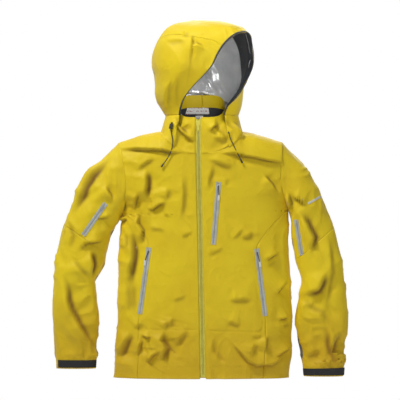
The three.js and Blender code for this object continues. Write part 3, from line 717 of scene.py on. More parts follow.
def nearest(x, h, line):
    """Distance to a line of places, the signed distance to its left, and how far along it, 0 to 1."""
    place = np.stack([x, h], -1)
    line = np.array(line, float)
    length = np.concatenate([[0], np.cumsum(np.linalg.norm(np.diff(line, axis=0), axis=1))])
    near, left, along = np.full(x.shape, 1e9), np.zeros(x.shape), np.zeros(x.shape)
    for k in range(len(line) - 1):
        step = line[k + 1] - line[k]
        size = np.hypot(*step)
        t = np.clip(((place - line[k]) @ step) / size ** 2, 0, 1)
        gap = place - line[k] - t[..., None] * step
        far = np.hypot(gap[..., 0], gap[..., 1])
        hit = far < near
        near = np.where(hit, far, near)
        left = np.where(hit, (step[0] * gap[..., 1] - step[1] * gap[..., 0]) / size, left)
        along = np.where(hit, (length[k] + t * size) / length[-1], along)
    return near, left, along


def fold_field(x, h, folds):
    """How far the fold lines lift (positive) or press in the cloth, in mm, and how much painted shade darkens
    their low side.
    """
    total, dark = np.zeros(x.shape), np.zeros(x.shape)
    for (depth, sharp, reach), *line in folds:
        step = np.subtract(line[-1], line[0])
        lit = 1 if step[1] * 0.75 + step[0] * 0.66 > 0 else -1
        drift_x = 5 * value_noise(h / 48, x / 90)
        drift_h = 5 * value_noise(x / 48, h / 90)
        near, left, along = nearest(x + drift_x, h + drift_h, line)
        fade = smooth(along / 0.34) * smooth((1 - along) / 0.34)
        wide = reach * (0.35 + 0.65 * fade)
        side = np.tanh(left * lit / sharp)
        total += depth * (0.12 + fade) * side * np.exp(-near / wide) * (1 + 0.25 * side)
        # painted shade: the low side of each fold gets a darker colour, strongest just below its edge
        below_edge = (left * lit + 1.3 * sharp) / (1.5 * sharp)
        dark += depth / 11 * fade * np.exp(-below_edge ** 2 - near / (3 * wide))
    return total, np.minimum(dark, 1.0)


# %% [markdown]
# Between the named folds the cloth is never flat: it keeps a net of shallow, sharp-edged dents.
# Ridged noise makes that net. It is value noise folded over at zero, with the place itself
# pushed about by a slower noise, and its numbers come from a seeded generator.

# %% Small crumples from ridged noise
def crumple(x, y):
    """Shallow creases, between about -1 and 1."""
    wx = x + 26 * value_noise(x / 70 + 11, y / 90 + 5)
    wy = y + 26 * value_noise(x / 80 + 31, y / 70 + 17)
    broad = 1 - 2.6 * np.abs(value_noise(wx / 62, wy / 105 + 40))
    fine = 1 - 2.6 * np.abs(value_noise(wx / 30 + 60, wy / 44 + 9))
    patch = smooth(0.5 + value_noise(x / 120 + 3, y / 120 + 23))
    return 0.62 * broad + 0.5 * fine * patch


print("folds", len(body_folds), "on the body and", len(sleeve_folds), "on the sleeves")

# %% [markdown]
# The zips are straight, so the soft cloth has to come to them. Each zip gets its own frame: a
# middle, a direction across, one outwards and one up. Cloth near a zip is drawn into the plane
# just in front of the zip's tape, and a narrow slot is cut there.

# %% Where the zips lie
SINK = 2.1
SLOT_HALF = 3.5


class Zip:
    def __init__(self, bottom, top, outward, sink):
        bottom, top, outward = (np.asarray(p, float).reshape(3) for p in (bottom, top, outward))
        self.length = np.linalg.norm(top - bottom)
        self.up = (top - bottom) / self.length
        self.out = outward - (outward @ self.up) * self.up
        self.out /= np.linalg.norm(self.out)
        self.across = np.cross(-self.out, self.up)
        self.middle = (bottom + top) / 2 - self.out * sink

    def local(self, points):
        gap = np.asarray(points) - self.middle
        return gap @ self.across, gap @ self.out, gap @ self.up

    def place(self, across, out, up):
        columns = [np.asarray(c, float)[..., None] for c in np.broadcast_arrays(across, out, up)]
        return self.middle + columns[0] * self.across + columns[1] * self.out + columns[2] * self.up

    def draw_in(self, points, cloth=1.5, near=9, far=30):
        a, d, l = self.local(points)
        pull = smooth((far - np.abs(a)) / (far - near)) * smooth((self.length / 2 + 24 - np.abs(l)) / 20)
        pull = pull * (np.abs(d) < 60)
        return points + (pull * (cloth - d))[..., None] * self.out


def outward_of(point_at, a, b, step):
    """Outward direction of a surface at (a, b), facing the front."""
    ends = [[a + step[0], b], [a - step[0], b], [a, b + step[1]], [a, b - step[1]]]
    p = [np.asarray(point_at(np.float64(i), np.float64(j))) for i, j in ends]
    normal = np.cross(p[0] - p[1], p[2] - p[3])
    return normal if normal[1] < 0 else -normal


zips = {}
start, stop = (37, 435), (53, 626)
ends = [body_point(1, np.float64(x), np.float64(h)) for x, h in (start, stop)]
zips["chest"] = Zip(*ends, outward_of(lambda x, h: body_point(1, x, h), 45, 530, (1, 1)), SINK)
hand_zip = {-1: (212, 416), 1: (206, 412)}
vent_line = {-1: ((0.44, 1.5), (0.18, 1.72)), 1: ((0.45, 2.35), (0.24, 2.2))}
side_names = {-1: "right", 1: "left"}
for side, word in side_names.items():
    ends = [body_point(side, pocket_seam[side](np.float64(h)), np.float64(h)) for h in hand_zip[side]]
    h = sum(hand_zip[side]) / 2
    out = outward_of(lambda x, z: body_point(side, x, z), float(pocket_seam[side](h)), h, (1, 1))
    zips["hand_" + word] = Zip(*ends, out, SINK + 0.6)
    (s0, a0), (s1, a1) = vent_line[side]
    ends = [sleeve_point(side, np.float64(s), np.float64(a)) for s, a in vent_line[side]]
    out = outward_of(lambda s, a: sleeve_point(side, s, a), (s0 + s1) / 2, (a0 + a1) / 2, (0.01, 0.01))
    zips["vent_" + word] = Zip(*ends, out, SINK + 2.2)
FRONT_LOW, FRONT_HIGH = 8, 832
front_ends = [(zip_x(h), -DEPTH, h) for h in (FRONT_LOW, FRONT_HIGH)]
zips["front"] = Zip(*front_ends, (0, -1, 0), SINK + 0.6)
for word, z in zips.items():
    print(word, "zip", round(z.length), "mm long")

# %% [markdown]
# One helper makes every panel. A grid is laid on the surface, pushed along its normals by the
# folds, drawn in at the zips, and cut for the slots. Solidify gives it a wall, with the pale
# backer as the inner face's own material.

# %% The panel maker
def normals_on(surface, u, v, around=False, reach=2e-3):
    low, high = (u - reach, u + reach) if around else (np.clip(u - reach, 0, 1), np.clip(u + reach, 0, 1))
    du = surface(high, v) - surface(low, v)
    dv = surface(u, np.clip(v + reach, 0, 1)) - surface(u, np.clip(v - reach, 0, 1))
    normal = np.cross(du, dv)
    return normal / np.maximum(np.linalg.norm(normal, axis=-1, keepdims=True), 1e-9)


def cut_slot(bm, z, half):
    def near(face, wide, spare):
        a, d, l = z.local(np.array(face.calc_center_median()))
        return abs(a) < wide and abs(l) < z.length / 2 + spare and abs(d) < 25

    for axis, reach in ((z.across, half), (z.up, z.length / 2 + 1)):
        for way in (-1, 1):
            faces = [f for f in bm.faces if near(f, 20, 15)]
            edges = {e for f in faces for e in f.edges}
            verts = {v for f in faces for v in f.verts}
            bmesh.ops.bisect_plane(bm, geom=[*faces, *edges, *verts], dist=1e-4,
                                   plane_co=z.middle + axis * way * reach, plane_no=axis)
    bmesh.ops.delete(bm, geom=[f for f in bm.faces if near(f, half, 1)], context="FACES")


def lay_panel(name, surface, columns, rows, press, finishes, slots=(), around=False, thick=0.7, side_way=-1):
    """A cloth panel over surface(u, v). press(points, u, v) is its relief along the normals, in mm."""
    bm = bmesh.new()
    bmesh.ops.create_grid(bm, x_segments=columns, y_segments=rows, size=0.5)
    bm.verts.ensure_lookup_table()
    u, v = (np.array([p.co[:2] for p in bm.verts]) + 0.5).T
    base = surface(u, v)
    relief, dark = press(base, u, v)
    points = base + normals_on(surface, u, v, around) * relief[:, None]
    for z in slots:
        points = z.draw_in(points)
    # painted shade: how much of the dark fold colour each vertex takes
    fold_shade = bm.verts.layers.float.new("fold_shade")
    # painted shade: the amount of deeper yellow, growing from 330 mm above the hem down to it
    hem_shade = bm.verts.layers.float.new("hem_shade")
    low = smooth((330 - base[:, 2]) / 330) * 0.55
    for vert, place, shade, hem_darkening in zip(bm.verts, points, dark, low):
        vert.co = place
        vert[fold_shade] = float(shade)
        vert[hem_shade] = float(hem_darkening)
    if around:
        bmesh.ops.remove_doubles(bm, verts=bm.verts, dist=0.01)
    for z in slots:
        cut_slot(bm, z, SLOT_HALF)
    for vert in bm.verts:
        vert.co = to_row(vert.co)
    made = mesh_object(name, bm, finishes)
    wall = made.modifiers.new("wall", "SOLIDIFY")
    wall.thickness = thick / 1000
    wall.offset = side_way
    wall.material_offset = len(finishes) - 1
    wall.material_offset_rim = 0
    print(name, len(made.data.polygons), "faces")
    return made


# %% [markdown]
# The body's relief is the sum of the fold lines and the crumples. It fades to nothing at the
# zip's edge and the shoulder seams, where the cloth is held, and seams sink a little ditch
# into it, 0.8 mm deep, as a taped seam does.

# %% Relief of the body
def ditch(distance, depth=0.9, width=2.2):
    return -depth * np.exp(-(distance / width) ** 2)


seam_lines = [
    [(-9, 157), (-176, 157), (-186, 166), (-183, 190), (-179, 253), (-163, 307)],
    [(4, 155), (182, 149), (194, 160), (195, 190), (181, 235), (175, 317)],
    [(278, 541), (238, 502), (214, 470), (205, 454), (180, 428)],
]


def body_relief(side):
    def press(points, u, v):
        x, y, h = points.T
        front = smooth(0.5 - y / 50)
        folds, dark = fold_field(x, h, body_folds)
        relief = front * folds
        wander = np.where(y < 0, 0, 900)
        strength = mix(1.3, 1.7, smooth((h - 560) / 160)) + 3.0 * smooth((150 - h) / 110)
        strength += 2.6 * smooth((np.abs(x) - 205) / 50)
        relief += strength * crumple(x + wander, h)
        for line in seam_lines:
            relief += ditch(nearest(x, h, line)[0], 1.5, 2.4) * (y < 0)
        relief += ditch(np.abs(h - 37), 0.7, 1.6)
        held = smooth((np.abs(x - zip_x(h)) - 7) / 24)
        held = np.where(y < 0, held, 1)
        open_side = 1 - 0.6 * smooth((h - 700) / 60) * smooth((np.abs(x) - 200) / 50)
        relief = relief * held * open_side * smooth((1 - v) * 50)
        relief += 1.6 * smooth((14 - h) / 14)
        return relief, dark * front * held

    return press


shell_and_backer = (shell_finish, backer_finish)
for side, word in side_names.items():
    slots = [zips["hand_" + word]] + ([zips["chest"]] if side > 0 else [])
    front = lay_panel("front_shell_" + word, front_surface(side), 62, 250, body_relief(side),
                      shell_and_backer, slots)
    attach(front, "body")
    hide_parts("front_body_" + word, "hem_front_" + word)
    flank = lay_panel("side_shell_" + word, side_surface(side), 44, 160, body_relief(side), shell_and_backer,
                      [zips["hand_" + word]])
    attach(flank, "body")
    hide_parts("side_panel_" + word)
back = lay_panel("back_shell", back_surface, 110, 190, body_relief(0), shell_and_backer)
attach(back, "body")
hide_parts("back_body")

# %% [markdown]
# Sleeves fold most at the elbow and the wrist, where the cloth is long for the distance it
# spans. Both pieces of a sleeve read one relief, so the cut between them, needed for the two
# joints, does not show.

# %% Sleeves
SLEEVE_SPLIT = 0.46


def sleeve_relief(side, cuff=False):
    def press(points, u, v):
        x, y, h = points.T
        front = smooth(0.5 - y / 30)
        folds, dark = fold_field(x, h, sleeve_folds)
        relief = front * folds
        relief += mix(3.4, 6.2, smooth((520 - h) / 300)) * crumple(x * 1.1 + np.where(y < 0, 300, 1500), h)
        from_seam = (np.abs(x) - armhole[side](np.clip(h, armpit[side], SHOULDER_END)))
        held = smooth((from_seam + 1) / 16)
        if cuff:
            held = held * smooth((v * 470 - 24) / 26)
        return relief * held, dark * front * held

    return press


for side, word in side_names.items():
    upper = lay_panel("sleeve_top_" + word, sleeve_surface(side, 0, SLEEVE_SPLIT), 96, 84,
                      sleeve_relief(side), shell_and_backer, [zips["vent_" + word]], around=True)
    lower = lay_panel("sleeve_end_" + word, sleeve_surface(side, SLEEVE_SPLIT, 1), 96, 104,
                      sleeve_relief(side, True), shell_and_backer, around=True)
    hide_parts("upper_sleeve_" + word)
    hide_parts("lower_sleeve_" + word)
    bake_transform(upper)
    arm = to_row(sleeve_point(side, np.array([0.5, 0.7]), np.array([math.pi / 2] * 2)))
    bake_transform(lower)

# %% [markdown]
# Collar, hood neck and hood use the same helper. The hood's cloth is thinner in feel and its
# crown is nearly smooth; its inside is a shiny lining, so that goes in as a second cloth a few
# millimetres within, with its own sharper creases.

# %% Collar and hood
lining_folds = [
    (BROAD, (20, 1040), (52, 990), (64, 945), (96, 905)),
    (HARD, (-14, 990), (22, 962), (44, 925)),
    (HARD, (60, 1045), (86, 990), (82, 940)),
    (SOFT, (0, 930), (36, 945), (70, 1000)),
]
collar_folds = [
    (HARD, (22, 789), (42, 806), (61, 813)),
    (SOFT, (-30, 818), (-60, 800), (-84, 806)),
    (SOFT, (30, 770), (58, 762), (84, 770)),
    (HARD, (-154, 786), (-118, 747)),
    (SOFT, (70, 830), (96, 800), (112, 786)),
    (HARD, (-90, 832), (-62, 800), (-40, 776)),
    (HARD, (-78, 802), (-50, 774), (-26, 760)),
    (SOFT, (36, 830), (52, 792), (80, 752)),
    (HARD, (104, 826), (124, 792), (150, 768)),
]
hood_folds = [
    (HARD, (-32, 1107), (-29, 1088), (-32, 1066), (-19, 1069), (16, 1050)),
    (SOFT, (-49, 1115), (-56, 1091)),
    (SOFT, (-118, 1074), (-84, 1082), (-49, 1085)),
    (SOFT, (-102, 963), (-109, 899), (-112, 858)),
    (SOFT, (-86, 970), (-83, 864)),
    (BROAD, (-168, 1010), (-176, 960), (-166, 900)),
]


def collar_relief(points, u, v):
    x, y, h = points.T
    folds, dark = fold_field(x, h, collar_folds)
    front = smooth(0.5 - y / 40) * smooth(np.minimum(v, 1 - v) / 0.12)
    lap = 1.3 * smooth((0.16 - v) / 0.16)
    return front * (folds + 1.6 * crumple(x + 410, h + 90)) + lap, 0.8 * dark * front


def hood_relief(points, u, v):
    x, y, h = points.T
    folds, dark = fold_field(x, h, hood_folds)
    front = smooth(0.5 - y / 60)
    relief = 0.8 * front * folds + 1.8 * crumple(x + 0.7 * y + 700, h)
    return relief * smooth((h - HOOD_SEAM) / 30), 0.6 * dark * front


def lining_relief(points, u, v):
    x, y, h = points.T
    shell = np.minimum(hood_relief(points, u, v)[0], 0)
    relief = shell - 8 + 4.2 * crumple((x + y) * 1.9 + 40, (h + 0.6 * x) * 1.2 + 60)
    relief -= 0.8 * fold_field(x, h, lining_folds)[0]
    return np.minimum(relief, shell - 6), 0 * u


silver = Shader("silver_lining")
silver.link(silver.ramp(silver.noise(14, 5), [(0.3, srgb("dfe1e3")), (0.7, srgb("fafafa"))]), "Base Color")
silver.link(silver.ramp(silver.noise(300, 2), [(0.3, (0.30,) * 3), (0.7, (0.42,) * 3)]), "Roughness")
silver_creases = silver.bump(silver.noise(38, 5), 0.006, 0.8)
silver.link(silver.bump(silver.weave(1300), 0.0001, 0.4, silver_creases), "Normal")
silver.main.inputs["Metallic"].default_value = 0.75
lining_finish = silver.material

for side, word in side_names.items():
    collar = lay_panel("collar_shell_" + word, collar_surface(side), 72, 34, collar_relief,
                       (shell_finish,))
    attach(collar, "body")
    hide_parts("collar_" + word)
    neck = lay_panel("hood_neck_shell_" + word, hood_neck_surface(side), 60, 18, collar_relief,
                     shell_and_backer)
    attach(neck, "body")
    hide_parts("hood_neck_" + word)

hood_pieces = {"hood_side_right": (-1, -0.36), "hood_centre": (-0.36, 0.36), "hood_side_left": (0.36, 1)}
for node, (first, last) in hood_pieces.items():
    piece = lay_panel(node.replace("hood", "hood_shell"), hood_surface(first, last), 56, 110, hood_relief,
                      (shell_finish, lining_finish))
    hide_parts(node)
    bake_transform(piece)
lining = lay_panel("hood_lining", hood_surface(-0.97, 0.97, 0.05, 0.93), 110, 80, lining_relief,
                   (lining_finish,), thick=0.4)
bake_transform(lining)

# %% [markdown]
# The hood's opening is bound with a narrow charcoal tape, stiffened at the brim so that it keeps
# its curve. Inside it a charcoal facing runs back a few centimetres, wider on the side where the
# hood has folded over.

# %% Brim binding and facing
binding_finish = plain_cloth("binding_tape", srgb("2a2c31"), srgb("1d1f23"), 800, 0.65)


def smooth_inside(points, u, v):
    held = smooth((points[:, 2] - HOOD_SEAM) / 30)
    return 0.9 * crumple(points[:, 0] * 1.2 + 90, points[:, 2] + points[:, 1]) * held, 0 * u


def facing_surface(u, v):
    across = mix(1, -1, u)
    width = mix(0.03, 0.34, smooth((across + 0.2) / 0.45)) * (1 - 0.5 * smooth((across - 0.3) / 0.6))
    return hood_hoop(mix(width, 0.004, v), across)


def facing_relief(points, u, v):
    """The facing lies within the lining, and rises to the binding at its outer edge."""
    return -12.5 * smooth((1 - v) / 0.3) + smooth_inside(points, u, v)[0], 0 * u


binding = lay_panel("hood_binding", hood_surface(-1, 1, 0.0, 0.017), 130, 2, smooth_inside, (binding_finish,),
                    thick=2.2, side_way=0)
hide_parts("hood_brim")
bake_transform(binding)
facing = lay_panel("hood_facing", facing_surface, 120, 22, facing_relief, (charcoal_finish,), thick=0.5)
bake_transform(facing)

# %% [markdown]
# Inside the collar a charcoal lining covers the lower two thirds, so the bright band above it
# is the shell turned in. A woven label is sewn across the middle of the back, with a smaller
# tag under it. Their marks are plain bars, not letters.

# %% Collar lining, labels and hanger loop
def collar_inside(first, last, low, high):
    def surface(u, v):
        return collar_point(math.pi + mix(first, last, u), mix(low, high, v))

    return surface


def inside(depth):
    return lambda points, u, v: (np.full(len(points), -depth), 0 * u)


label = Shader("woven_label")
uv = label.add("ShaderNodeSeparateXYZ", {0: label.object_place})
rows = label.maths("GREATER_THAN", label.maths("FRACT", label.maths("MULTIPLY", uv.outputs[2], 95)), 0.72)
bars = label.maths("GREATER_THAN", label.noise(260, 0), 0.5)
label.link(label.mix(label.maths("MULTIPLY", rows, bars), srgb("fbfbf9"), srgb("b06a66")), "Base Color")
label.link(label.bump(label.weave(1500), 0.0001, 0.5), "Normal")
label.main.inputs["Roughness"].default_value = 0.55
label_finish = label.material

collar_lining = lay_panel("collar_lining_cloth", collar_inside(-1.3, 1.3, 0.03, 0.66), 80, 26,
                          lambda p, u, v: (-1.9 + 0.7 * crumple(p[:, 0], p[:, 2]), 0 * u),
                          (charcoal_finish,), thick=0.6)
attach(collar_lining, "body")
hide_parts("collar_lining")
neck_label = lay_panel("neck_label_cloth", collar_inside(-0.2, 0.56, 0.48, 0.66), 24, 8, inside(3.6),
                       (label_finish,), thick=0.5)
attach(neck_label, "body")
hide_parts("neck_label")
size_tag = lay_panel("size_tag", collar_inside(-0.02, 0.16, 0.36, 0.44), 8, 6, inside(3.4),
                     (label_finish,), thick=0.5)
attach(size_tag, "body")


def band(name, line, side, width, thick, finish):
    """A flat band that follows a line of points; side gives its width's direction."""
    bm = bmesh.new()
    bmesh.ops.create_grid(bm, x_segments=4, y_segments=len(line) - 1, size=0.5)
    line = np.asarray(line, float)
    rows = [v.co.copy() for v in bm.verts]
    for vert, co in zip(bm.verts, rows):
        at = line[int(round((co.y + 0.5) * (len(line) - 1)))]
        vert.co = to_row(at + np.asarray(side, float) * width * co.x)
    made = mesh_object(name, bm, (finish,))
    wall = made.modifiers.new("wall", "SOLIDIFY")
    wall.thickness = thick / 1000
    wall.offset = 0
    rounding = made.modifiers.new("rounding", "BEVEL")
    rounding.width = thick / 4000
    rounding.segments = 2
    return made


turns = np.linspace(0, math.pi, 25)
arch = stack(-26.5 * power(np.cos(turns), 0.5), LOOP_Y + 0 * turns, 808.6 + 14.6 * power(np.sin(turns), 0.5))
loop = band("hanger_loop_tape", arch, (0, 1, 0), 8, 1.4, charcoal_finish)
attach(loop, "body")
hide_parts("hanger_loop")
print("collar's inside is done")

# %% [markdown]
# A flap of shell stands behind the front zip, and mesh pocket bags hang behind the pocket zips.
# They are seen only through a slot or from below, so they stay simple: the flap is a strip with
# one fold, the bags are flat pouches.

# %% Storm flap and pocket bags
flap_line = [(20, 9.6), (8, 9.6), (-8, 9.6), (-20, 9.4), (-23, 7.5), (-26, 3.6), (-30, 3.0), (-38, 2.9)]


def flap_surface(u, v):
    table = np.array([(i / 7, *p) for i, p in enumerate(flap_line)])
    across, deep = (np.interp(u, table[:, 0], table[:, k]) for k in (1, 2))
    h = mix(3, 712, v)
    return stack(zip_x(h) + across, -DEPTH + deep, h)


def bag_surface(side, inner, outer, low, high, deep):
    def surface(u, v):
        share = u if side > 0 else 1 - u
        h = mix(low, high, v)
        x = mix(inner(h), outer(h), share)
        rim = smooth(np.minimum(np.minimum(share, 1 - share), np.minimum(v, 1 - v)) / 0.13)
        base = body_point(side, x, h)
        return base + stack(0 * x, mix(3.0, deep, rim), 0 * x)

    return surface


mesh_finish = plain_cloth("pocket_mesh", srgb("dcdcd8"), srgb("c6c7c4"), 450, 0.6, 0.0004)
flap = lay_panel("storm_flap_cloth", flap_surface, 21, 60, lambda p, u, v: (0 * u, 0 * u),
                 (shell_finish,), side_way=0)
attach(flap, "body")
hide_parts("storm_flap")
bags = {"chest_pocket_bag": (1, lambda h: 20 + 0 * h, lambda h: 150 + 0 * h, 412, 648, 9)}
for side, word in side_names.items():
    low, high = hand_zip[side]
    bags["hand_pocket_bag_" + word] = (side, lambda h: mix(56, 153, smooth((h - 270) / 110)),
                                       lambda h, side=side: pocket_seam[side](h) + 30,
                                       low - 24, high + 26, 13)


def bag_relief(side):
    body = body_relief(side)
    return lambda points, u, v: (np.minimum(body(points, u, 0 * v)[0], 0) - 9, 0 * u)


for node, (side, inner, outer, low, high, deep) in bags.items():
    bag = lay_panel(node + "_mesh", bag_surface(side, inner, outer, low, high, deep), 20, 30,
                    bag_relief(side), (mesh_finish,), side_way=0)
    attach(bag, "body")
    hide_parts(node)

# %% [markdown]
# A water-resistant zip shows two smooth laminated tapes that nearly meet, with the coil behind
# them. Each tape is a strip whose section steps down towards the slit. The teeth are one small
# block, repeated along the slit, first on one side and then on the other.

# %% Zip tapes and teeth
def laminate(name, light, dark, roughness):
    s = Shader(name)
    s.link(s.ramp(s.noise(60, 3), [(0.3, dark), (0.7, light)]), "Base Color")
    s.uneven_roughness(500, roughness, 0.05)
    s.link(s.bump(s.weave(1500), 0.00006, 0.4), "Normal")
    return s.material


grey_tape = laminate("grey_zip_tape", srgb("b9bdba"), srgb("a3a8a6"), 0.42)
yellow_tape = laminate("yellow_zip_tape", srgb("d9cd42"), srgb("cbbb2e"), 0.45)
tooth_grey = laminate("grey_coil", srgb("8d9290"), srgb("7c807f"), 0.35)
tooth_yellow = laminate("yellow_coil", srgb("e0da62"), srgb("cfc74a"), 0.35)


def zip_strip(name, z, profile, spare, finish):
    """Both tapes of a zip; profile is (across, outward) in mm from the outer edge to the slit."""
    bm = bmesh.new()
    lengths = int(z.length / 6)
    for way in (-1, 1):
        made = bmesh.ops.create_grid(bm, x_segments=len(profile) - 1, y_segments=lengths, size=0.5)
        for vert in made["verts"]:
            column = int(round((vert.co.x + 0.5) * (len(profile) - 1)))
            across, out = profile[column] if way > 0 else profile[-1 - column]
            up = vert.co.y * (z.length + 2 * spare)
            vert.co = to_row(z.place(way * across, out, up))
    bmesh.ops.recalc_face_normals(bm, faces=bm.faces)
    made = mesh_object(name, bm, (finish,), smooth=False)
    wall = made.modifiers.new("wall", "SOLIDIFY")
    wall.thickness = 0.0006
    wall.offset = 0
    return made


def teeth(name, z, size, pitch, out, finish):
    """Two rows of teeth that mesh along a zip's slit. size is (across, outward, along) in mm."""
    bm = bmesh.new()
    turn = Matrix((z.across, z.out, z.up)).transposed().to_4x4()
    scale = Matrix.Diagonal((*[s / 1000 for s in size], 1))
    count = int(z.length / pitch)
    for k in range(count):
        way = 1 if k % 2 else -1
        place = to_row(z.place(way * size[0] * 0.32, out, (k + 0.5 - count / 2) * pitch))
        bmesh.ops.create_cube(bm, size=1, matrix=Matrix.Translation(place) @ turn @ scale)
    return mesh_object(name, bm, (finish,), smooth=False)


pocket_profile = [(7.6, 1.7), (7.3, 2.5), (4.2, 2.5), (1.6, 1.7), (0.6, 0.5)]
front_profile = [(13.5, 0.4), (9.0, 0.5), (5.0, 0.7), (3.4, 1.1), (2.6, 0.5)]
zip_bodies = {"chest": "body", "hand_right": "body", "hand_left": "body", "front": "body",
              "vent_right": "upper_arm_right", "vent_left": "upper_arm_left"}
for word, z in zips.items():
    front = word == "front"
    strip = zip_strip(word + "_zip_strip", z, front_profile if front else pocket_profile, 1 if front else 5,
                      yellow_tape if front else grey_tape)
    size, pitch = ((4.4, 1.9, 1.5), 1.9) if front else ((1.9, 1.0, 1.0), 1.4)
    row = teeth(word + "_zip_teeth", z, size, pitch, 0.9 if front else 0.2,
                tooth_yellow if front else tooth_grey)
    for piece in (strip, row):
        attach(piece, zip_bodies[word])
    if front:
        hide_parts("front_zip_tape_right", "front_zip_tape_left")
    else:
        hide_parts(word + "_zip_tape")
print("zip pieces are done")

# %% [markdown]
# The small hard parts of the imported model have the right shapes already: sliders, pulls, grips,
# cord lock and cuff tabs. They stay and get their finish: cast metal, moulded rubber with a
# fine grain, or black nylon.

# %% Finishes of the hard trims
def moulded(name, light, dark, roughness, metallic=0.0, grain=420, depth=0.00015):
    s = Shader(name)
    s.link(s.ramp(s.noise(90, 4), [(0.3, dark), (0.7, light)]), "Base Color")
    s.uneven_roughness(700, roughness, 0.07)
    s.link(s.bump(s.noise(grain, 4), depth, 0.5), "Normal")
    s.main.inputs["Metallic"].default_value = metallic
    return s.material


cast_metal = moulded("cast_slider", srgb("a9abab"), srgb("8e9191"), 0.34, 0.85)
painted_slider = moulded("painted_slider", srgb("d6cd48"), srgb("bfb536"), 0.38, 0.3)
pale_grip = moulded("pale_grip", srgb("e4e4e0"), srgb("cfcfcb"), 0.5)
black_nylon = moulded("black_nylon", srgb("1c1c1d"), srgb("111112"), 0.42)
hook_tape = moulded("hook_tape_tab", srgb("0f0f10"), srgb("070708"), 0.78, 0, 900, 0.0004)
grey_pull = moulded("grey_pull", srgb("b4b7b5"), srgb("9da19f"), 0.45)
trims = {
    "zip_slider": cast_metal, "front_zip_slider": painted_slider, "front_zip_pull": painted_slider,
    "front_zip_box": painted_slider, "pull_cord": black_nylon, "pull_grip": pale_grip, "zip_pull": grey_pull,
    "cord_end": black_nylon, "cord_lock": black_nylon, "cord_lock_button": black_nylon,
    "cord_eyelet": black_nylon, "cuff_tab": hook_tape,
}
for node_name, node in nodes.items():
    keys = [k for k in trims if k in node_name]
    if keys:
        for holder in node.material_slots:
            holder.material = trims[max(keys, key=len)]
print("trims", [n for n in nodes if any(k in n for k in trims)])


# %% [markdown]
# The cuffs close with a hook tab over a soft patch. The patch follows the sleeve's end, so it is
# laid on the same surface a millimetre outside the cloth.

# %% Cuff patches
def cuff_surface(side, low, high, first, last):
    ends = sleeve_outer[side](np.array([0.9, 1.0]))
    per_share = 10 * np.hypot(*(ends[1] - ends[0]))

    def surface(u, v):
        angle = mix(first, last, 1 - u if side > 0 else u)
        return sleeve_point(side, 1 - mix(low, high, v) / per_share, angle)

    return surface


PATCH_START = {-1: 0.85, 1: 0.47}
soft_patch = plain_cloth("soft_patch", srgb("2b2c2f"), srgb("1c1d20"), 500, 0.8, 0.0005, 0.3)
for side, word in side_names.items():
    patch = lay_panel("cuff_patch_cloth_" + word, cuff_surface(side, 4, 28, PATCH_START[side], 1.9), 24, 8,
                      lambda p, u, v: (0 * u + 1.0, 0 * u), (soft_patch,), thick=0.6, side_way=0)
    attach(patch, "forearm_" + word)
    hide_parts("cuff_patch_" + word)

# %% [markdown]
# Two thin drawcords hang from the hood's neck. The right one leaves the cord lock and the left
# one an eyelet, and each ends in a moulded knob. Their routes are the drawing's own points.

# %% Hood drawcords
CORD_WIDTH = 3.0
cord_routes = {
    "right": [(-99, -76.3, 800), (-98, -76, 788), (-95, -79.3, 772), (-94, -80.6, 755),
              (-97, -80.6, 735), (-105, -80.3, 716), (-114, -80.3, 701), (-122, -80.8, 690)],
    "left": [(86, -82, 789), (87.5, -81.6, 782), (91, -80.4, 769), (99, -79.4, 752),
             (108, -78.8, 734), (117, -79.2, 716), (123, -80.2, 704)],
}
cord_finish = plain_cloth("braided_cord", srgb("1e1e20"), srgb("111113"), 1100, 0.6, 0.0004)


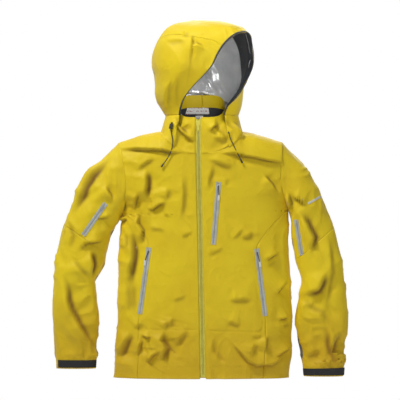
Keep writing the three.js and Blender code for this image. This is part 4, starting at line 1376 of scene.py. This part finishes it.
def catmull(points, steps=6):
    """A smooth line through every point, with steps pieces between two of them."""
    p = np.asarray(points, float)
    p = np.vstack([2 * p[0] - p[1], p, 2 * p[-1] - p[-2]])
    t = np.linspace(0, 1, steps, endpoint=False)[:, None]
    rows = []
    for k in range(1, len(p) - 2):
        a, b, c, d = p[k - 1:k + 3]
        square = (2 * a - 5 * b + 4 * c - d) * t ** 2
        cube = (3 * b - a - 3 * c + d) * t ** 3
        rows.append(0.5 * (2 * b + (c - a) * t + square + cube))
    return np.vstack([*rows, p[-2]])


for word, route in cord_routes.items():
    line = to_row(catmull([(x, y - 1.5, h) for x, y, h in route]))
    data = bpy.data.curves.new("hood_drawcord_" + word, "CURVE")
    data.dimensions = "3D"
    data.bevel_depth = CORD_WIDTH / 2000
    data.bevel_resolution = 4
    data.use_fill_caps = True
    spline = data.splines.new("POLY")
    spline.points.add(len(line) - 1)
    for point, place in zip(spline.points, line):
        point.co = (*place, 1)
    data.materials.append(cord_finish)
    cord = bpy.data.objects.new("hood_drawcord_" + word, data)
    bpy.context.scene.collection.objects.link(cord)
    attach(cord, "body")
    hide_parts("hood_cord_" + word)

# %% [markdown]
# One sleeve carries a short reflective dash, a heat-pressed film that follows the cloth.

# %% Reflective dash
film = laminate("reflective_film", srgb("d3d3c6"), srgb("bfc0b4"), 0.3)
DASH = ((341, 561), (380, 583))


def dash_surface(u, v):
    x = mix(DASH[0][0], DASH[1][0], u) - 3 * (v - 0.5)
    h = mix(DASH[0][1], DASH[1][1], u) + 6 * (v - 0.5)
    return stack(x, -58 + 0.0 * x, h)


def on_sleeve(side, x, h):
    """The share and angle of the front of a sleeve that lies at (x, h)."""
    share, t = np.full(x.shape, 0.2), np.full(x.shape, 0.5)
    for _ in range(40):
        outer, inner = sleeve_outer[side](share), sleeve_inner[side](share)
        gap = np.stack([x, h], -1) - (inner + (outer - inner) * t[..., None])
        wide = outer - inner
        t = np.clip(t + np.sum(gap * wide, -1) / np.sum(wide * wide, -1), 0.02, 0.98)
        share = np.clip(share - 0.6 * gap[..., 1] / 1000, 0, 1)
    return share, np.arccos(power(2 * t - 1, ROUND / 2))


def film_surface(u, v):
    flat = dash_surface(u, v)
    share, angle = on_sleeve(1, flat[..., 0], flat[..., 2])
    return sleeve_point(1, share, angle)


dash = lay_panel("sleeve_reflective_dash", film_surface, 16, 4,
                 lambda p, u, v: (sleeve_relief(1)(p, u, v)[0] + 0.7, 0 * u), (film,), thick=0.4)
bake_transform(dash)
